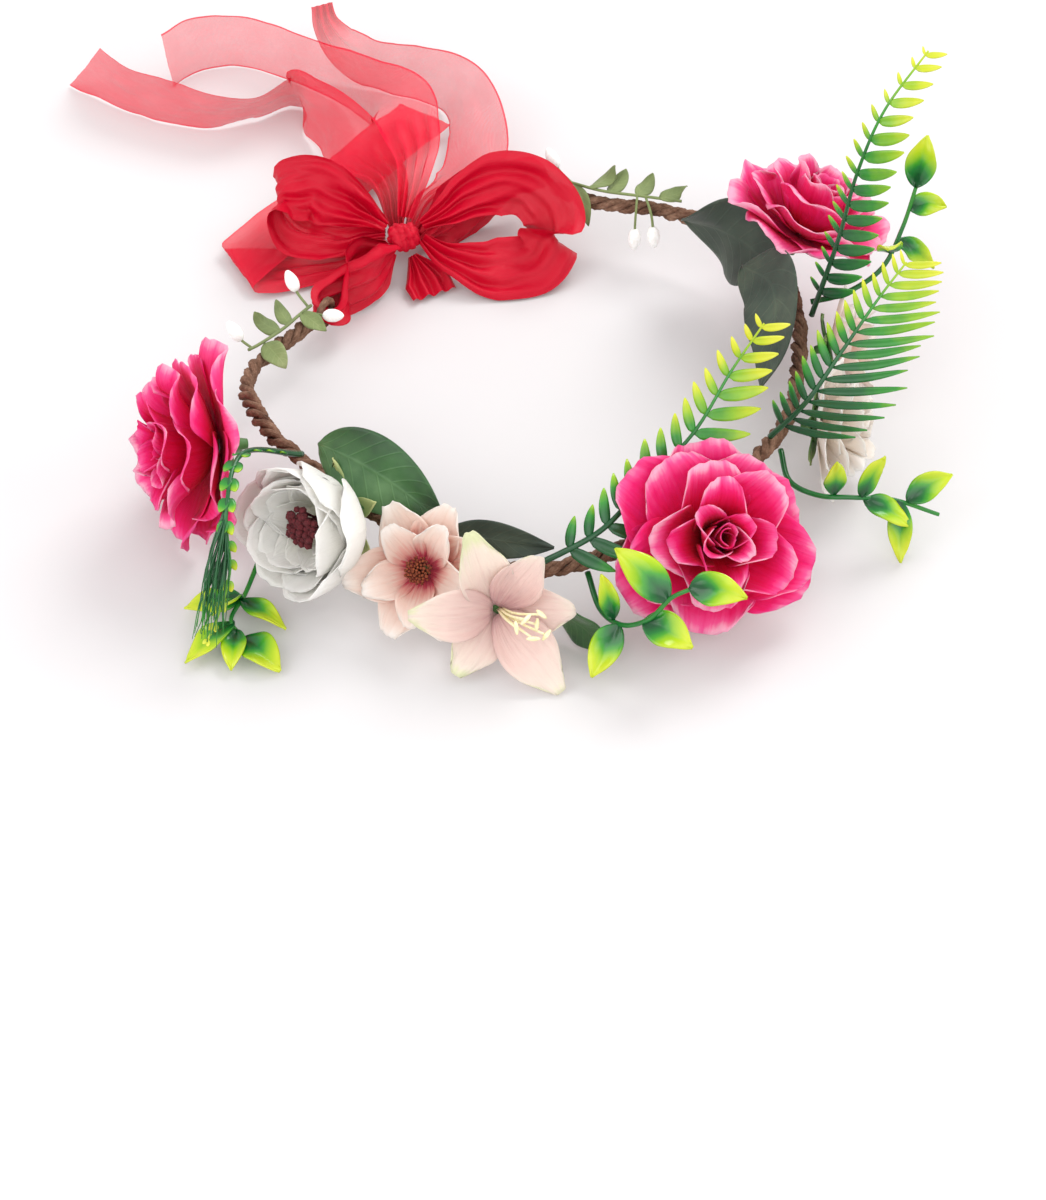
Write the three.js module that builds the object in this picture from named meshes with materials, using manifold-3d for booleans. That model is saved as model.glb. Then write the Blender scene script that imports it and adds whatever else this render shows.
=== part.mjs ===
// Flower crown, in millimetres with +Z up. It lies on a table: the origin is the centre of the head
// opening at table level, -Y is the front of the wreath and +Y is the side where the ribbon is tied.
import * as THREE from "three";
import { mergeVertices } from "three/addons/utils/BufferGeometryUtils.js";
import Module from "manifold-3d";

const wasm = await Module();
wasm.setup();

// Driving dimensions
const gap = 0.3; // left between neighbours that touch
const wireRadius = 0.3; // florist's wire in the middle of the vine
const strandRadius = 1.2; // one paper-wrapped strand
const strandOffset = 1.8; // from the wire's axis to a strand's axis
const twistPitch = 34; // length of one full twist of the two strands
const ribbonWidth = 25;
const ribbonThickness = 0.8;
const leafThickness = 0.9;
const stemRadius = 1.1; // stem of a plastic sprig

const vector = (p) => new THREE.Vector3(...p);
const crown = new THREE.Group();

function finish(name, geometry, color, roughness) {
  const material = new THREE.MeshStandardMaterial({ color, roughness, metalness: 0 });
  const mesh = new THREE.Mesh(geometry, material);
  mesh.name = name;
  return mesh;
}

const add = (name, geometry, color, roughness) => crown.add(finish(name, geometry, color, roughness));

// A closed mesh as a solid, and several overlapping meshes joined into one.
function solid(geometry) {
  const bare = geometry.clone();
  bare.deleteAttribute("normal");
  bare.deleteAttribute("uv");
  const merged = mergeVertices(bare, 1e-3);
  return new wasm.Manifold(new wasm.Mesh({
    numProp: 3,
    vertProperties: merged.attributes.position.array,
    triVerts: new Uint32Array(merged.index.array),
  }));
}

function joined(geometries) {
  const mesh = geometries.map(solid).reduce((sum, next) => sum.add(next)).getMesh();
  return new THREE.BufferGeometry()
    .setAttribute("position", new THREE.BufferAttribute(mesh.vertProperties, 3))
    .setIndex(new THREE.BufferAttribute(mesh.triVerts, 1));
}

// A round section swept along a curve.
function tube(curve, radius, steps, sides = 6) {
  const section = new THREE.Shape(
    Array.from({ length: sides }, (_, i) => {
      const angle = (2 * Math.PI * i) / sides;
      return new THREE.Vector2(radius * Math.cos(angle), radius * Math.sin(angle));
    }),
  );
  return new THREE.ExtrudeGeometry(section, { steps, bevelEnabled: false, extrudePath: curve });
}

const through = (points) => new THREE.CatmullRomCurve3(points.map(vector));

// Carries a flat piece, drawn from x = 0 to x = length, onto a route. Each row of the route is a point
// followed by the direction in which the piece's width (its own y) lies there.
function carry(geometry, length, rows) {
  const centres = through(rows.map((row) => row.slice(0, 3)));
  const sides = through(rows.map((row) => row.slice(3, 6)));
  const position = geometry.attributes.position;
  for (let i = 0; i < position.count; i++) {
    const t = Math.min(1, Math.max(0, position.getX(i) / length));
    const tangent = centres.getTangent(t);
    const side = sides.getPoint(t).addScaledVector(tangent, -sides.getPoint(t).dot(tangent)).normalize();
    const normal = tangent.clone().cross(side);
    const p = centres.getPoint(t);
    p.addScaledVector(side, position.getY(i)).addScaledVector(normal, position.getZ(i));
    position.setXYZ(i, p.x, p.y, p.z);
  }
  return geometry;
}

// A thin plate over flat points [x, y, lift], with the same facets above and below, so that it keeps its
// thickness when it is twisted.
function plate(points, triangles, thickness) {
  const count = points.length;
  const layer = (z) => points.flatMap(([x, y, lift = 0]) => [x, y, z + lift]);
  const positions = [...layer(-thickness / 2), ...layer(thickness / 2)];
  const index = [];
  const edges = new Map();
  for (const [a, b, c] of triangles) {
    index.push(a, c, b, count + a, count + b, count + c);
    for (const [from, to] of [[a, b], [b, c], [c, a]]) edges.set(`${from} ${to}`, [from, to]);
  }
  for (const [from, to] of edges.values()) {
    if (!edges.has(`${to} ${from}`)) index.push(from, to, count + to, from, count + to, count + from);
  }
  return new THREE.BufferGeometry()
    .setAttribute("position", new THREE.Float32BufferAttribute(positions, 3))
    .setIndex(index);
}

// A band of cloth or a leaf, narrowed along its length by outline(t) and carried on a route.
function strip(rows, { width, thickness, steps, outline = () => 1, cup = 0 }) {
  const points = [];
  const triangles = [];
  for (let i = 0; i <= steps; i++) {
    const half = (width / 2) * outline(i / steps);
    for (const y of [-half, 0, half]) points.push([(100 * i) / steps, y, cup * Math.abs(y)]);
    for (const a of i < steps ? [3 * i, 3 * i + 1] : []) triangles.push([a, a + 3, a + 4], [a, a + 4, a + 1]);
  }
  return carry(plate(points, triangles, thickness), 100, rows);
}

const leafOutline = (t) => Math.max(0.05, Math.sin(Math.PI * Math.pow(t, 0.8)) ** 0.8);

function leaf(rows, width, steps = 6, cup = 0.15) {
  return strip(rows, { width, thickness: leafThickness, steps, outline: leafOutline, cup });
}

// ---- The vine band -------------------------------------------------------------------------------

// Centre line of the band, from the ribbon eye on the left, round the front, to the eye on the right.
const bandRoute = [
  [-70, 36, 15], [-76, 25, 16], [-86, 11, 18], [-92, -7, 22], [-88, -28, 27], [-77, -47, 28], [-58, -64, 25],
  [-39, -80, 22], [-18, -94, 21], [9, -99, 21], [36, -92, 24], [60, -75, 27], [80, -55, 27], [93, -33, 25],
  [99, -7, 24], [101, 19, 26], [97, 44, 28], [86, 66, 27], [67, 80, 24], [48, 88, 22], [32, 92, 21],
  [18, 100, 20], [10, 106, 20],
];
const band = through(bandRoute);
const leftHinge = 0.145; // where the bare left end starts, as a share of the band's length
const rightHinge = 0.835; // where the bare right end starts
const hingeGap = 0.0012; // half the gap between the band and a bare end, as a share of its length
const bandLength = band.getLength();

// The frame of the band at t: its point, its outward direction and its upward one.
function bandFrame(t) {
  const tangent = band.getTangentAt(t);
  const out = tangent.clone().cross(new THREE.Vector3(0, 0, 1)).normalize();
  return { point: band.getPointAt(t), out, up: out.clone().cross(tangent).normalize() };
}

// One strand of the twist, from t = start to t = end.
class Strand extends THREE.Curve {
  constructor(start, end, phase) {
    super();
    Object.assign(this, { start, end, phase });
  }
  getPoint(u) {
    const t = this.start + (this.end - this.start) * u;
    const { point, out, up } = bandFrame(t);
    const angle = this.phase + (2 * Math.PI * t * bandLength) / twistPitch;
    return point
      .addScaledVector(out, strandOffset * Math.cos(angle))
      .addScaledVector(up, strandOffset * Math.sin(angle));
  }
}

function strand(start, end, phase) {
  const steps = Math.round(((end - start) * bandLength * 8) / twistPitch);
  return tube(new Strand(start, end, phase), strandRadius, steps, 5);
}

const vineBrown = 0x7a4e33;
const eyeRadius = 4.6; // of the eye that each end is bent into, for the ribbon

// The upright eye at a tip of the band: its centre, the way the band points there, and its own axis.
function eyeFrame(tip) {
  const ahead = band.getTangentAt(tip).multiplyScalar(tip < 0.5 ? -1 : 1);
  const axis = ahead.clone().cross(new THREE.Vector3(0, 0, 1)).normalize();
  const centre = new Strand(tip, tip, Math.PI).getPoint(0).addScaledVector(ahead, eyeRadius);
  return { centre, ahead, axis };
}

// A bare end's second strand, bent at its tip into the eye.
function eyedStrand(start, end, tip) {
  const { centre, ahead, axis } = eyeFrame(tip);
  const ring = new THREE.TorusGeometry(eyeRadius, strandRadius, 5, 12)
    .applyMatrix4(new THREE.Matrix4().makeBasis(ahead, axis.clone().cross(ahead), axis))
    .translate(centre.x, centre.y, centre.z);
  return joined([strand(start, end, Math.PI), ring]);
}

const leftTip = 0.004;
const rightTip = 0.996;
const wirePath = new THREE.CatmullRomCurve3(
  Array.from({ length: 40 }, (_, i) => {
    return band.getPointAt(leftHinge + 0.01 + ((rightHinge - leftHinge - 0.02) * i) / 39);
  }),
);
add("core_wire", tube(wirePath, wireRadius, 70, 4), 0x6b7a70, 0.4);
add("vine_strand_a", strand(leftHinge + hingeGap, rightHinge - hingeGap, 0), vineBrown, 0.85);
add("vine_strand_b", strand(leftHinge + hingeGap, rightHinge - hingeGap, Math.PI), vineBrown, 0.85);
add("left_end_strand_a", strand(leftTip + 0.008, leftHinge - hingeGap, 0), vineBrown, 0.85);
add("left_end_strand_b", eyedStrand(leftTip, leftHinge - hingeGap, leftTip), vineBrown, 0.85);
add("right_end_strand_a", strand(rightHinge + hingeGap, rightTip - 0.008, 0), vineBrown, 0.85);
add("right_end_strand_b", eyedStrand(rightHinge + hingeGap, rightTip, rightTip), vineBrown, 0.85);

// ---- Flowers -------------------------------------------------------------------------------------

// A layer of cloth petals, stamped as one disc and pressed into a cup: its rim has one lobe for each
// petal. rise is how far the rim stands above the middle, and bend how late the cup turns up.
function petals({ count, radius, rise, base = 0, bend = 2, lobe = 0.1, wave = 0, turn = 0, skin = 1 }) {
  const rings = 3;
  const below = [];
  const above = [];
  for (let i = 0; i <= rings; i++) {
    const r = (radius * i) / rings;
    const z = base + rise * (i / rings) ** bend;
    below.push(new THREE.Vector2(r, z));
    above.unshift(new THREE.Vector2(r * 0.97, z + skin));
  }
  const lathe = new THREE.LatheGeometry([...below, ...above], count * 3).rotateX(Math.PI / 2);
  const position = lathe.attributes.position;
  for (let i = 0; i < position.count; i++) {
    const [x, y, z] = [position.getX(i), position.getY(i), position.getZ(i)];
    const share = Math.hypot(x, y) / radius;
    const angle = Math.atan2(y, x) + turn;
    const petal = Math.abs(Math.cos((count * angle) / 2));
    const grow = 1 + lobe * share * (petal - 0.6);
    position.setXYZ(i, x * grow, y * grow, z + wave * share ** 3 * Math.sin(count * angle * 2));
  }
  return lathe;
}

// A turned piece, from its profile of [radius, height] pairs.
function turned(profile, sides = 8) {
  const points = profile.map(([r, z]) => new THREE.Vector2(r, z));
  return new THREE.LatheGeometry(points, sides).rotateX(Math.PI / 2);
}

// The green moulded cup that carries the petals, with its stub of stem.
const calyx = (length, radius) => turned([
  [0, -length], [2.2, -length + 0.6], [2.6, -4.5], [radius, -gap], [0, -gap],
]);

// The closed bud in the middle of a rose.
const bud = (radius, height, base) => turned([
  [0, base], [radius * 0.55, base + 1.6], [radius, base + height * 0.5],
  [radius * 0.8, base + height * 0.85], [radius * 0.35, base + height], [0, base + height * 0.93],
], 9);

// Stamens as one tuft: fine filaments out of a common base, each with its anther.
function tuft({ count, length, spread, base, lean = 0 }) {
  const pieces = [turned([[0, base], [2.2, base + 0.6], [1.8, base + 3], [0, base + 3.6]], 8)];
  for (let i = 0; i < count; i++) {
    const angle = (2 * Math.PI * i) / count + 0.3;
    const reach = spread * (0.75 + 0.25 * Math.cos(3 * i));
    const top = base + length * (0.85 + 0.15 * Math.sin(2 * i));
    const tip = [reach * Math.cos(angle) + lean, reach * Math.sin(angle), top];
    const middle = [tip[0] * 0.45, tip[1] * 0.45, base + length * 0.55];
    pieces.push(tube(through([[0, 0, base + 1.2], middle, tip]), 0.5, 3, 4));
    pieces.push(new THREE.SphereGeometry(1.3, 5, 3).translate(...tip));
  }
  return joined(pieces);
}

// Puts a flower's pieces on the crown: at is the back of the petals and facing the way it looks.
function flower(name, at, facing, pieces) {
  const group = new THREE.Group();
  group.position.copy(vector(at));
  group.quaternion.setFromUnitVectors(new THREE.Vector3(0, 0, 1), vector(facing).normalize());
  for (const [part, geometry, color] of pieces) {
    group.add(finish(`${name}_${part}`, geometry, color, 0.75));
  }
  crown.add(group);
}

const rosePink = 0xe8256f;
const roseRed = 0xc4123f;
const calyxGreen = 0x3f6a35;

function rose(name, at, facing, { open = 1, turn = 0 }) {
  const outer = { count: 6, radius: 36 * open, rise: 10, bend: 2.2, lobe: 0.12, wave: 1.2, turn };
  const inner = { count: 5, radius: 25, rise: 17, base: 1.6, bend: 1.8, lobe: 0.1, turn: turn + 0.5 };
  flower(name, at, facing, [
    ["calyx", calyx(9, 9), calyxGreen],
    ["outer_petals", petals(outer), rosePink],
    ["inner_petals", petals(inner), rosePink],
    ["heart", bud(12, 22, 3), roseRed],
  ]);
}

rose("rose_left", [-97, -54, 34.5], [-0.93, -0.3, 0.18], { turn: 0.3 });
rose("rose_right", [64, -91, 26.5], [0.22, -0.64, 0.72], { open: 0.93, turn: 0.1 });
rose("rose_back", [103, 54, 37], [0.55, 0.35, 0.75], { open: 0.85, turn: 0.7 });

flower("ranunculus", [-57, -78, 25], [-0.78, -0.6, 0.15], [
  ["calyx", calyx(6, 8), calyxGreen],
  ["outer_petals", petals({ count: 6, radius: 23, rise: 26, bend: 2.2, lobe: 0.08 }), 0xf4f3ee],
  ["inner_petals", petals({ count: 5, radius: 16, rise: 23, base: 1.8, bend: 1.8, lobe: 0.08, turn: 0.6 }), 0xf4f3ee],
  ["stamens", tuft({ count: 6, length: 15, spread: 4, base: 3.8 }), 0x5a1a22],
]);
flower("magnolia", [-28, -101, 23], [-0.3, -0.65, 0.62], [
  ["calyx", calyx(6, 7), calyxGreen],
  ["petals", petals({ count: 6, radius: 18, rise: 10, bend: 1.5, lobe: 0.5 }), 0xfbe3da],
  ["stamens", tuft({ count: 6, length: 7, spread: 5, base: 1.8 }), 0x6b2e1a],
]);
flower("lily", [1, -108, 18.5], [0.12, -0.78, 0.5], [
  ["calyx", calyx(6, 7), calyxGreen],
  ["petals", petals({ count: 6, radius: 21, rise: 16, bend: 1.4, lobe: 0.5, turn: 0.35 }), 0xf6dad6],
  ["stamens", tuft({ count: 5, length: 24, spread: 7, base: 1.8, lean: 3 }), 0xf3eac0],
]);
flower("cream_rose", [105, -31, 22], [0.93, -0.25, 0.2], [
  ["calyx", calyx(6, 8), calyxGreen],
  ["outer_petals", petals({ count: 6, radius: 22, rise: 13, bend: 2, lobe: 0.12 }), 0xf7efe3],
  ["heart", bud(12, 17, 2.2), 0xf3e7d2],
]);
flower("pale_magnolia", [112, 8, 24], [0.95, 0.02, 0.25], [
  ["calyx", calyx(6, 7), calyxGreen],
  ["petals", petals({ count: 6, radius: 18, rise: 14, bend: 1.5, lobe: 0.4 }), 0xf8e6df],
]);

// ---- Cloth leaves: [x, y, z] along the midrib, then the direction of the blade's width ---------------

const leafGreen = 0x2f5a34;
const leafBack = 0x3a4a3c;
const clothLeaves = {
  leaf_back_upper: [34, leafBack, [
    [62, 70, 31, 0.3, -0.6, 0.6], [78, 60, 33, 0.5, -0.5, 0.7], [90, 44, 33, 0.7, -0.4, 0.5],
    [95, 29, 31, 0.8, -0.3, 0.4],
  ]],
  leaf_back_lower: [26, leafBack, [
    [82, 40, 34, 0.9, 0.1, 0.8], [91, 22, 40, 0.8, 0.1, 0.9], [91, 2, 34, 0.7, 0.2, 0.8], [86, -14, 24, 0.7, 0.3, 0.6],
  ]],
  leaf_satin: [25, leafGreen, [
    [-64, -60, 41, 0.5, 0.5, 0.7], [-51, -68, 40.5, 0.4, 0.5, 0.8], [-36, -78, 37, 0.3, 0.5, 0.8],
    [-21, -87, 29, 0.3, 0.5, 0.8],
  ]],
  leaf_front: [13, leafGreen, [[-23, -87, 25, 0, 0.5, 0.8], [-6, -90, 26, 0, 0.5, 0.8], [14, -93, 25, 0, 0.5, 0.8]]],
  leaf_under_lily: [14, leafGreen, [
    [14, -107, 12, 0.6, -0.4, 0.6], [24, -113, 8, 0.6, -0.4, 0.5], [33, -121, 3, 0.6, -0.4, 0.4],
  ]],
};
for (const [name, [width, color, rows]] of Object.entries(clothLeaves)) {
  add(name, leaf(rows, width), color, 0.6);
}

// ---- Ferns: a moulded rib with a row of leaflets on each side, laid out flat, then bent ---------------

// Leaflet length at share t of the rib: short at the foot, longest a third of the way up, short at the tip.
const leafletReach = (t) => 0.35 + 0.65 * Math.sin(Math.PI * Math.min(1, 0.25 + 0.72 * t));

const ribHalf = 0.9; // half the width of a fern's rib
const frondThickness = 1.2;
const bareFoot = 0.1; // share of the rib below its first leaflet
const leafyShare = 0.88; // share of the rib that carries leaflets

function fern(name, rows, { length, pairs, right, left }) {
  const points = [[0, -ribHalf], [0, ribHalf]];
  const triangles = [];
  const pitch = (length * leafyShare) / pairs;
  let last = 0; // index of the rib's last pair of points
  const extendRib = (x, half) => {
    const next = points.push([x, -half], [x, half]) - 2;
    triangles.push([last, next, next + 1], [last, next + 1, last + 1]);
    last = next;
  };
  for (let i = 0; i < pairs; i++) {
    const x = length * bareFoot + pitch * i;
    extendRib(x, ribHalf);
    const foot = last;
    extendRib(x + pitch * 0.55, ribHalf);
    for (const side of [-1, 1]) {
      const reach = side * (side > 0 ? left : right) * leafletReach(i / pairs);
      const top = x + pitch * 0.75;
      const tip = points.push([x + pitch * 0.35, reach * 0.8], [top, reach], [top, reach * 0.55]) - 3;
      const [from, to] = side > 0 ? [foot + 1, last + 1] : [foot, last];
      for (const [a, b, c] of [[from, to, tip + 2], [from, tip + 2, tip], [tip + 2, tip + 1, tip]]) {
        triangles.push(side > 0 ? [a, b, c] : [a, c, b]);
      }
    }
  }
  extendRib(length, ribHalf / 2);
  add(name, carry(plate(points, triangles, frondThickness), length, rows), 0x2f9a3c, 0.35);
}

fern("fern_front", [
  [9, -101, 25.6, -0.7, 0.4, 0.1], [29, -96, 36, -0.8, 0.1, 0.3], [42, -82, 41, -0.8, 0.1, 0.4],
  [60, -65, 51, -0.8, 0.1, 0.4], [72, -52, 66, -0.8, 0.1, 0.3], [82, -47, 82, -0.8, 0.1, 0.3],
], { length: 108, pairs: 14, right: 15, left: 13 });
fern("fern_right", [
  [87, -46, 31, -0.6, 0.3, 0.7], [98, -49, 50, -0.7, 0.3, 0.6], [109, -42, 66, -0.7, 0.2, 0.6],
  [121, -33, 82, -0.7, 0.2, 0.6], [129, -28, 92, -0.7, 0.2, 0.6],
], { length: 84, pairs: 15, right: 26, left: 12 });
fern("fern_back", [
  [105.5, 19, 29, -0.6, 0.5, 0.1], [112, 16, 66, -0.6, 0.5, 0.1], [116, 13, 98, -0.6, 0.5, 0.1],
  [123, 16, 120, -0.6, 0.5, 0.1], [137, 27, 136, -0.6, 0.5, 0.2],
], { length: 110, pairs: 15, right: 16, left: 7 });
fern("fern_left", [
  [-70, -56, 32.5, 0.8, -0.5, 0.2], [-87.8, -80, 54, 0.8, 0.1, 0], [-91, -102, 49, 0.9, 0, 0.2],
  [-91, -108, 28, 0.9, 0, 0.2], [-96, -118, 15, 0.9, 0, 0.2], [-99, -122, 10, 0.9, 0, 0.2],
], { length: 84, pairs: 11, right: 4.6, left: 4.6 });

// ---- Plastic leaf sprigs: a stem with twigs and pointed leaves, moulded in one piece -----------------

// Each leaf is [foot, tip, direction of its width, width].
function sprig(name, stems, leaves) {
  const pieces = stems.map((points) => tube(through(points), stemRadius, Math.round(1.5 * points.length), 5));
  for (const [foot, tip, side, width] of leaves) {
    const middle = foot.map((value, i) => (value + tip[i]) / 2);
    middle[2] += 1.5;
    pieces.push(leaf([[...foot, ...side], [...middle, ...side], [...tip, ...side]], width, 4, 0.1));
  }
  add(name, joined(pieces), 0xa8cf1c, 0.35);
}

sprig("sprig_left", [[[-72, -57, 22], [-81, -72, 11], [-88, -94, 5.5], [-92, -108, 6], [-88, -114, 5]]], [
  [[-89, -97, 5.8], [-108, -101, 5], [0.1, 0.9, 0.3], 11], [[-89, -97, 5.8], [-98, -109, 10], [0.8, 0.2, 0.2], 8],
  [[-89.5, -98, 5.8], [-74, -109, 3.5], [0.2, 0.9, 0.1], 9], [[-91, -108, 6], [-106, -124, 3], [0.7, -0.5, 0.1], 11],
  [[-90, -112, 6], [-91, -127, 3], [0.9, 0.1, 0.1], 10], [[-88, -114, 5], [-75, -127, 2.5], [0.6, 0.7, 0.1], 14],
]);
sprig("sprig_front", [[[25, -97, 17.8], [29, -110, 14], [36, -122, 19], [44, -127, 27], [51, -128, 38], [57, -129, 43]]], [
  [[33, -118, 17], [29, -113, 33], [0.9, 0.1, 0.2], 8], [[50, -128, 36], [33, -116, 48], [0.6, 0.5, 0.5], 14],
  [[56, -129, 43], [74, -135, 45], [0.1, 0.6, 0.7], 13], [[35, -121, 18], [26, -132, 5], [0.8, -0.3, 0.1], 13],
  [[42, -126, 25], [58, -133, 20], [0.2, 0.7, 0.5], 14],
]);
sprig("sprig_right", [[[91.5, -41, 20.3], [94, -54, 18], [103, -63, 20], [114, -65, 21], [128, -63, 18], [144, -64, 12]]], [
  [[108, -64, 21], [108, -65, 37], [0.9, 0.1, 0.1], 9], [[117, -65, 21], [124, -62, 37], [0.8, 0.1, 0.2], 8],
  [[118, -65, 20], [134, -70, 12], [0.2, 0.8, 0.4], 10], [[133, -63, 17], [148, -57, 24], [0.1, 0.7, 0.7], 11],
  [[130, -63, 18], [131, -76, 1], [0.9, 0, 0.2], 10],
]);
sprig("sprig_back", [[[105.5, 25, 30], [117, 27, 32], [130, 31, 40], [137, 38, 53], [141, 44, 66]]], [
  [[141, 44, 66], [144, 50, 84], [0.9, -0.2, 0.1], 13], [[139, 41, 59], [152, 41, 60], [0.1, 0.7, 0.7], 10],
  [[133, 34, 45], [131, 26, 53], [0.9, 0, 0.2], 11], [[135, 36, 49], [149, 34, 38], [0.7, 0, -0.3], 9],
]);

// ---- Sage leaves and foam buds wired along the two bare ends ------------------------------------------

// The middle of a little stem that springs outwards before it rises or hangs.
const arched = (foot, tip) => [
  0.3 * foot[0] + 0.7 * tip[0], 0.3 * foot[1] + 0.7 * tip[1], (2 * foot[2] + tip[2]) / 3,
];

function garland(name, wire, leaves, buds) {
  const pieces = [tube(through(wire), 0.6, 2 * wire.length, 4)];
  for (const [foot, tip, side, width] of leaves) {
    const middle = arched(foot, tip);
    pieces.push(leaf([[...foot, ...side], [...middle, ...side], [...tip, ...side]], width, 3, 0.1));
  }
  for (const [foot, tip] of buds) {
    pieces.push(tube(through([foot, arched(foot, tip), tip]), 0.5, 2, 4));
    pieces.push(new THREE.SphereGeometry(2.6, 6, 4).scale(1, 1, 1.3).translate(...tip));
  }
  add(name, joined(pieces), 0x7d9457, 0.8);
}

garland("left_garland", [[-92, 4, 26], [-89, 9, 24], [-81, 20, 22], [-76, 29, 20.5], [-72, 35, 20]], [
  [[-82, 18, 22], [-91, 22, 28], [0.6, 0.5, 0], 6], [[-87, 11, 23], [-79, 0, 21], [0.7, 0.4, 0.3], 8],
  [[-79, 23, 21], [-84, 31, 26], [0.7, 0.3, 0], 5], [[-75, 30, 20.5], [-66, 20, 21], [0.4, 0.7, 0.3], 6],
], [[[-91, 6, 25], [-97, 11, 28]], [[-73, 34, 20], [-79, 43, 24]], [[-74, 31, 20.5], [-64, 27, 22]]]);
garland("right_garland", [[62, 83, 29], [48, 88.5, 27], [33, 93, 26], [21, 99.5, 25]], [
  [[54, 86, 28], [64, 87, 33], [0.2, 0.8, 0.3], 6], [[46, 89, 27], [52, 97, 31], [0.7, -0.4, 0], 6],
  [[36, 92, 26], [42, 101, 30], [0.7, -0.4, 0.2], 7], [[28, 95.5, 25.5], [38, 99, 33], [0.5, -0.5, 0.3], 7],
  [[23, 98, 25.2], [28, 86, 15], [0.9, 0.1, 0], 5],
], [[[49, 88.1, 27.1], [52, 79, 16]], [[46, 89, 26.8], [45, 79, 15]], [[22, 99, 25], [15, 108, 29]]]);

// ---- The two ribbons: one is threaded through each eye, and their four ends are tied in a bow ---------

const ribbonRed = 0xc8102e;
const bow = [-40, 80, 15]; // centre of the knot
const at = (dx, dy, dz) => [bow[0] + dx, bow[1] + dy, bow[2] + dz];

function ribbon(name, rows, steps, outline) {
  const size = { width: ribbonWidth, thickness: ribbonThickness, steps, outline };
  add(name, strip(rows, size), ribbonRed, 0.6);
}

// The ribbon's width is gathered to a fifth in the knot and in the eyes.
const gathered = 0.2;
const spread = (t, reach = 0.25) => gathered + (1 - gathered) * Math.min(1, t / reach);
const fromKnot = (t) => spread(t);
const knotToKnot = (t) => 0.88 * Math.min(spread(t), spread(1 - t));
const throughEye = (t) => 0.75 * Math.min(spread(t, 0.2), spread(1 - t, 0.2), spread(Math.abs(t - 0.5), 0.3));

add("ribbon_knot", new THREE.SphereGeometry(5.5, 10, 7).scale(1.1, 0.9, 1).translate(...bow), ribbonRed, 0.6);
ribbon("bow_loop_left", [
  [...at(-7, 1, 3), 0, 1, 0.3], [-58, 84, 25, -0.1, 0.6, 0.8], [-74, 89, 31, -0.1, 0.5, 0.8], [-86, 90, 26, 0, 0.8, 0.5],
  [-82, 86, 17, 0, 0.9, 0.35], [-66, 82, 14, 0, 0.9, 0.3], [...at(-7, 1, 0.5), 0, 1, 0.3],
], 12, knotToKnot);
ribbon("bow_loop_right", [
  [...at(7, 2, 3), 0, 1, 0.4], [-22, 86, 24, 0.1, 0.5, 0.8], [-6, 92, 30, 0.2, 0.4, 0.8], [8, 92, 27, 0.3, 0.3, 0.9],
  [17, 84, 18, 0.3, 0.5, 0.7], [10, 74, 9, 0.1, 0.7, 0.5], [-8, 70, 8, 0, 0.8, 0.5], [-24, 73, 11, 0, 0.9, 0.4],
  [...at(7, -1, 0), 0, 1, 0.4],
], 16, knotToKnot);
// A lead leaves the knot, spreads, passes through the eye along its axis and comes back to the knot.
function lead(name, tip, out, outKnot, back, backKnot) {
  const { centre, ahead, axis } = eyeFrame(tip);
  const beside = (across, along) => {
    return centre.clone().addScaledVector(axis, across).addScaledVector(ahead, along).toArray();
  };
  const route = [outKnot, out, beside(5, 5), beside(3.4, 0.5), beside(0, 0), beside(-3.4, 0.5), beside(-5, 5), back, backKnot];
  ribbon(name, route.map((point) => [...point, 0, 0, 1]), 20, throughEye);
}

lead("lead_left", leftTip, [-60, 60, 14], at(-6, -4, -1), [-51, 57, 14], at(-3, -7, -1));
lead("lead_right", rightTip, [-20, 95, 11], at(6, 3, -5), [-24, 101, 11], at(5, 7, -5));
ribbon("tail_short", [
  [...at(3, -5, -5), 1, 0.2, 0.2], [-33, 70, 5, 1, 0.3, 0.1], [-29, 62, 2, 1, 0.4, 0],
], 4, (t) => 0.7 * spread(t, 0.6));
ribbon("tail_cross", [
  [...at(-6, -1, -5), 0, 1, 0], [-60, 77, 5, 0, 1, 0], [-82, 73, 3.5, 0, 1, 0], [-97, 74, 4.5, -0.15, 1, 0],
  [-101, 75.5, 6.5, -0.3, 0.95, 0], [-97, 79, 8.5, -0.45, 0.9, 0], [-86, 92, 7, -0.75, 0.65, 0], [-72, 112, 6, -0.8, 0.6, 0],
  [-58, 133, 5, -0.8, 0.6, 0], [-45, 151, 5, -0.8, 0.55, 0], [-35, 165, 6, -0.8, 0.5, 0],
], 22, fromKnot);
ribbon("tail_far", [
  [...at(-3, 6, -2), 1, 0, 0.2], [-46, 108, 18, 0.9, 0.2, 0.1], [-57, 130, 13, 0.8, 0.2, 0.1], [-69, 149, 15, 0.5, 0.1, 0.85],
  [-79, 161, 13.5, 0.3, 0, 0.95], [-86, 172, 12.5, 0, -0.5, 0.85], [-100, 163, 12.5, 0, -0.6, 0.8],
  [-116, 160, 12.5, 0, -0.4, 0.9], [-134, 165, 12.8, 0.1, -0.2, 1], [-150, 173, 13, 0.1, -0.2, 1],
  [-165, 185, 13, 0.1, 0, 1], [-176, 194, 13, 0.1, 0.1, 1],
], 24, fromKnot);
ribbon("tail_arch", [
  [...at(0, 6, 4), 1, 0, 0.3], [-37, 98, 27, 0.9, 0.1, 0.3], [-36, 114, 28, 0.8, 0.2, 0.5], [-42, 138, 33, 0.8, 0.2, 0.4],
  [-53, 161, 20, 0.3, 0.3, 0.9], [-67, 180, 14, 0.1, 0.1, 1], [-81, 190, 13, 0, 0, 1], [-93, 198, 13, 0, 0, 1],
  [-105, 204, 13, 0, 0, 1], [-117, 205, 13, 0, 0, 1], [-129, 201, 13, 0, 0.1, 1], [-137, 192, 12.6, 0.1, 0.3, 1],
], 24, fromKnot);
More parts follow.
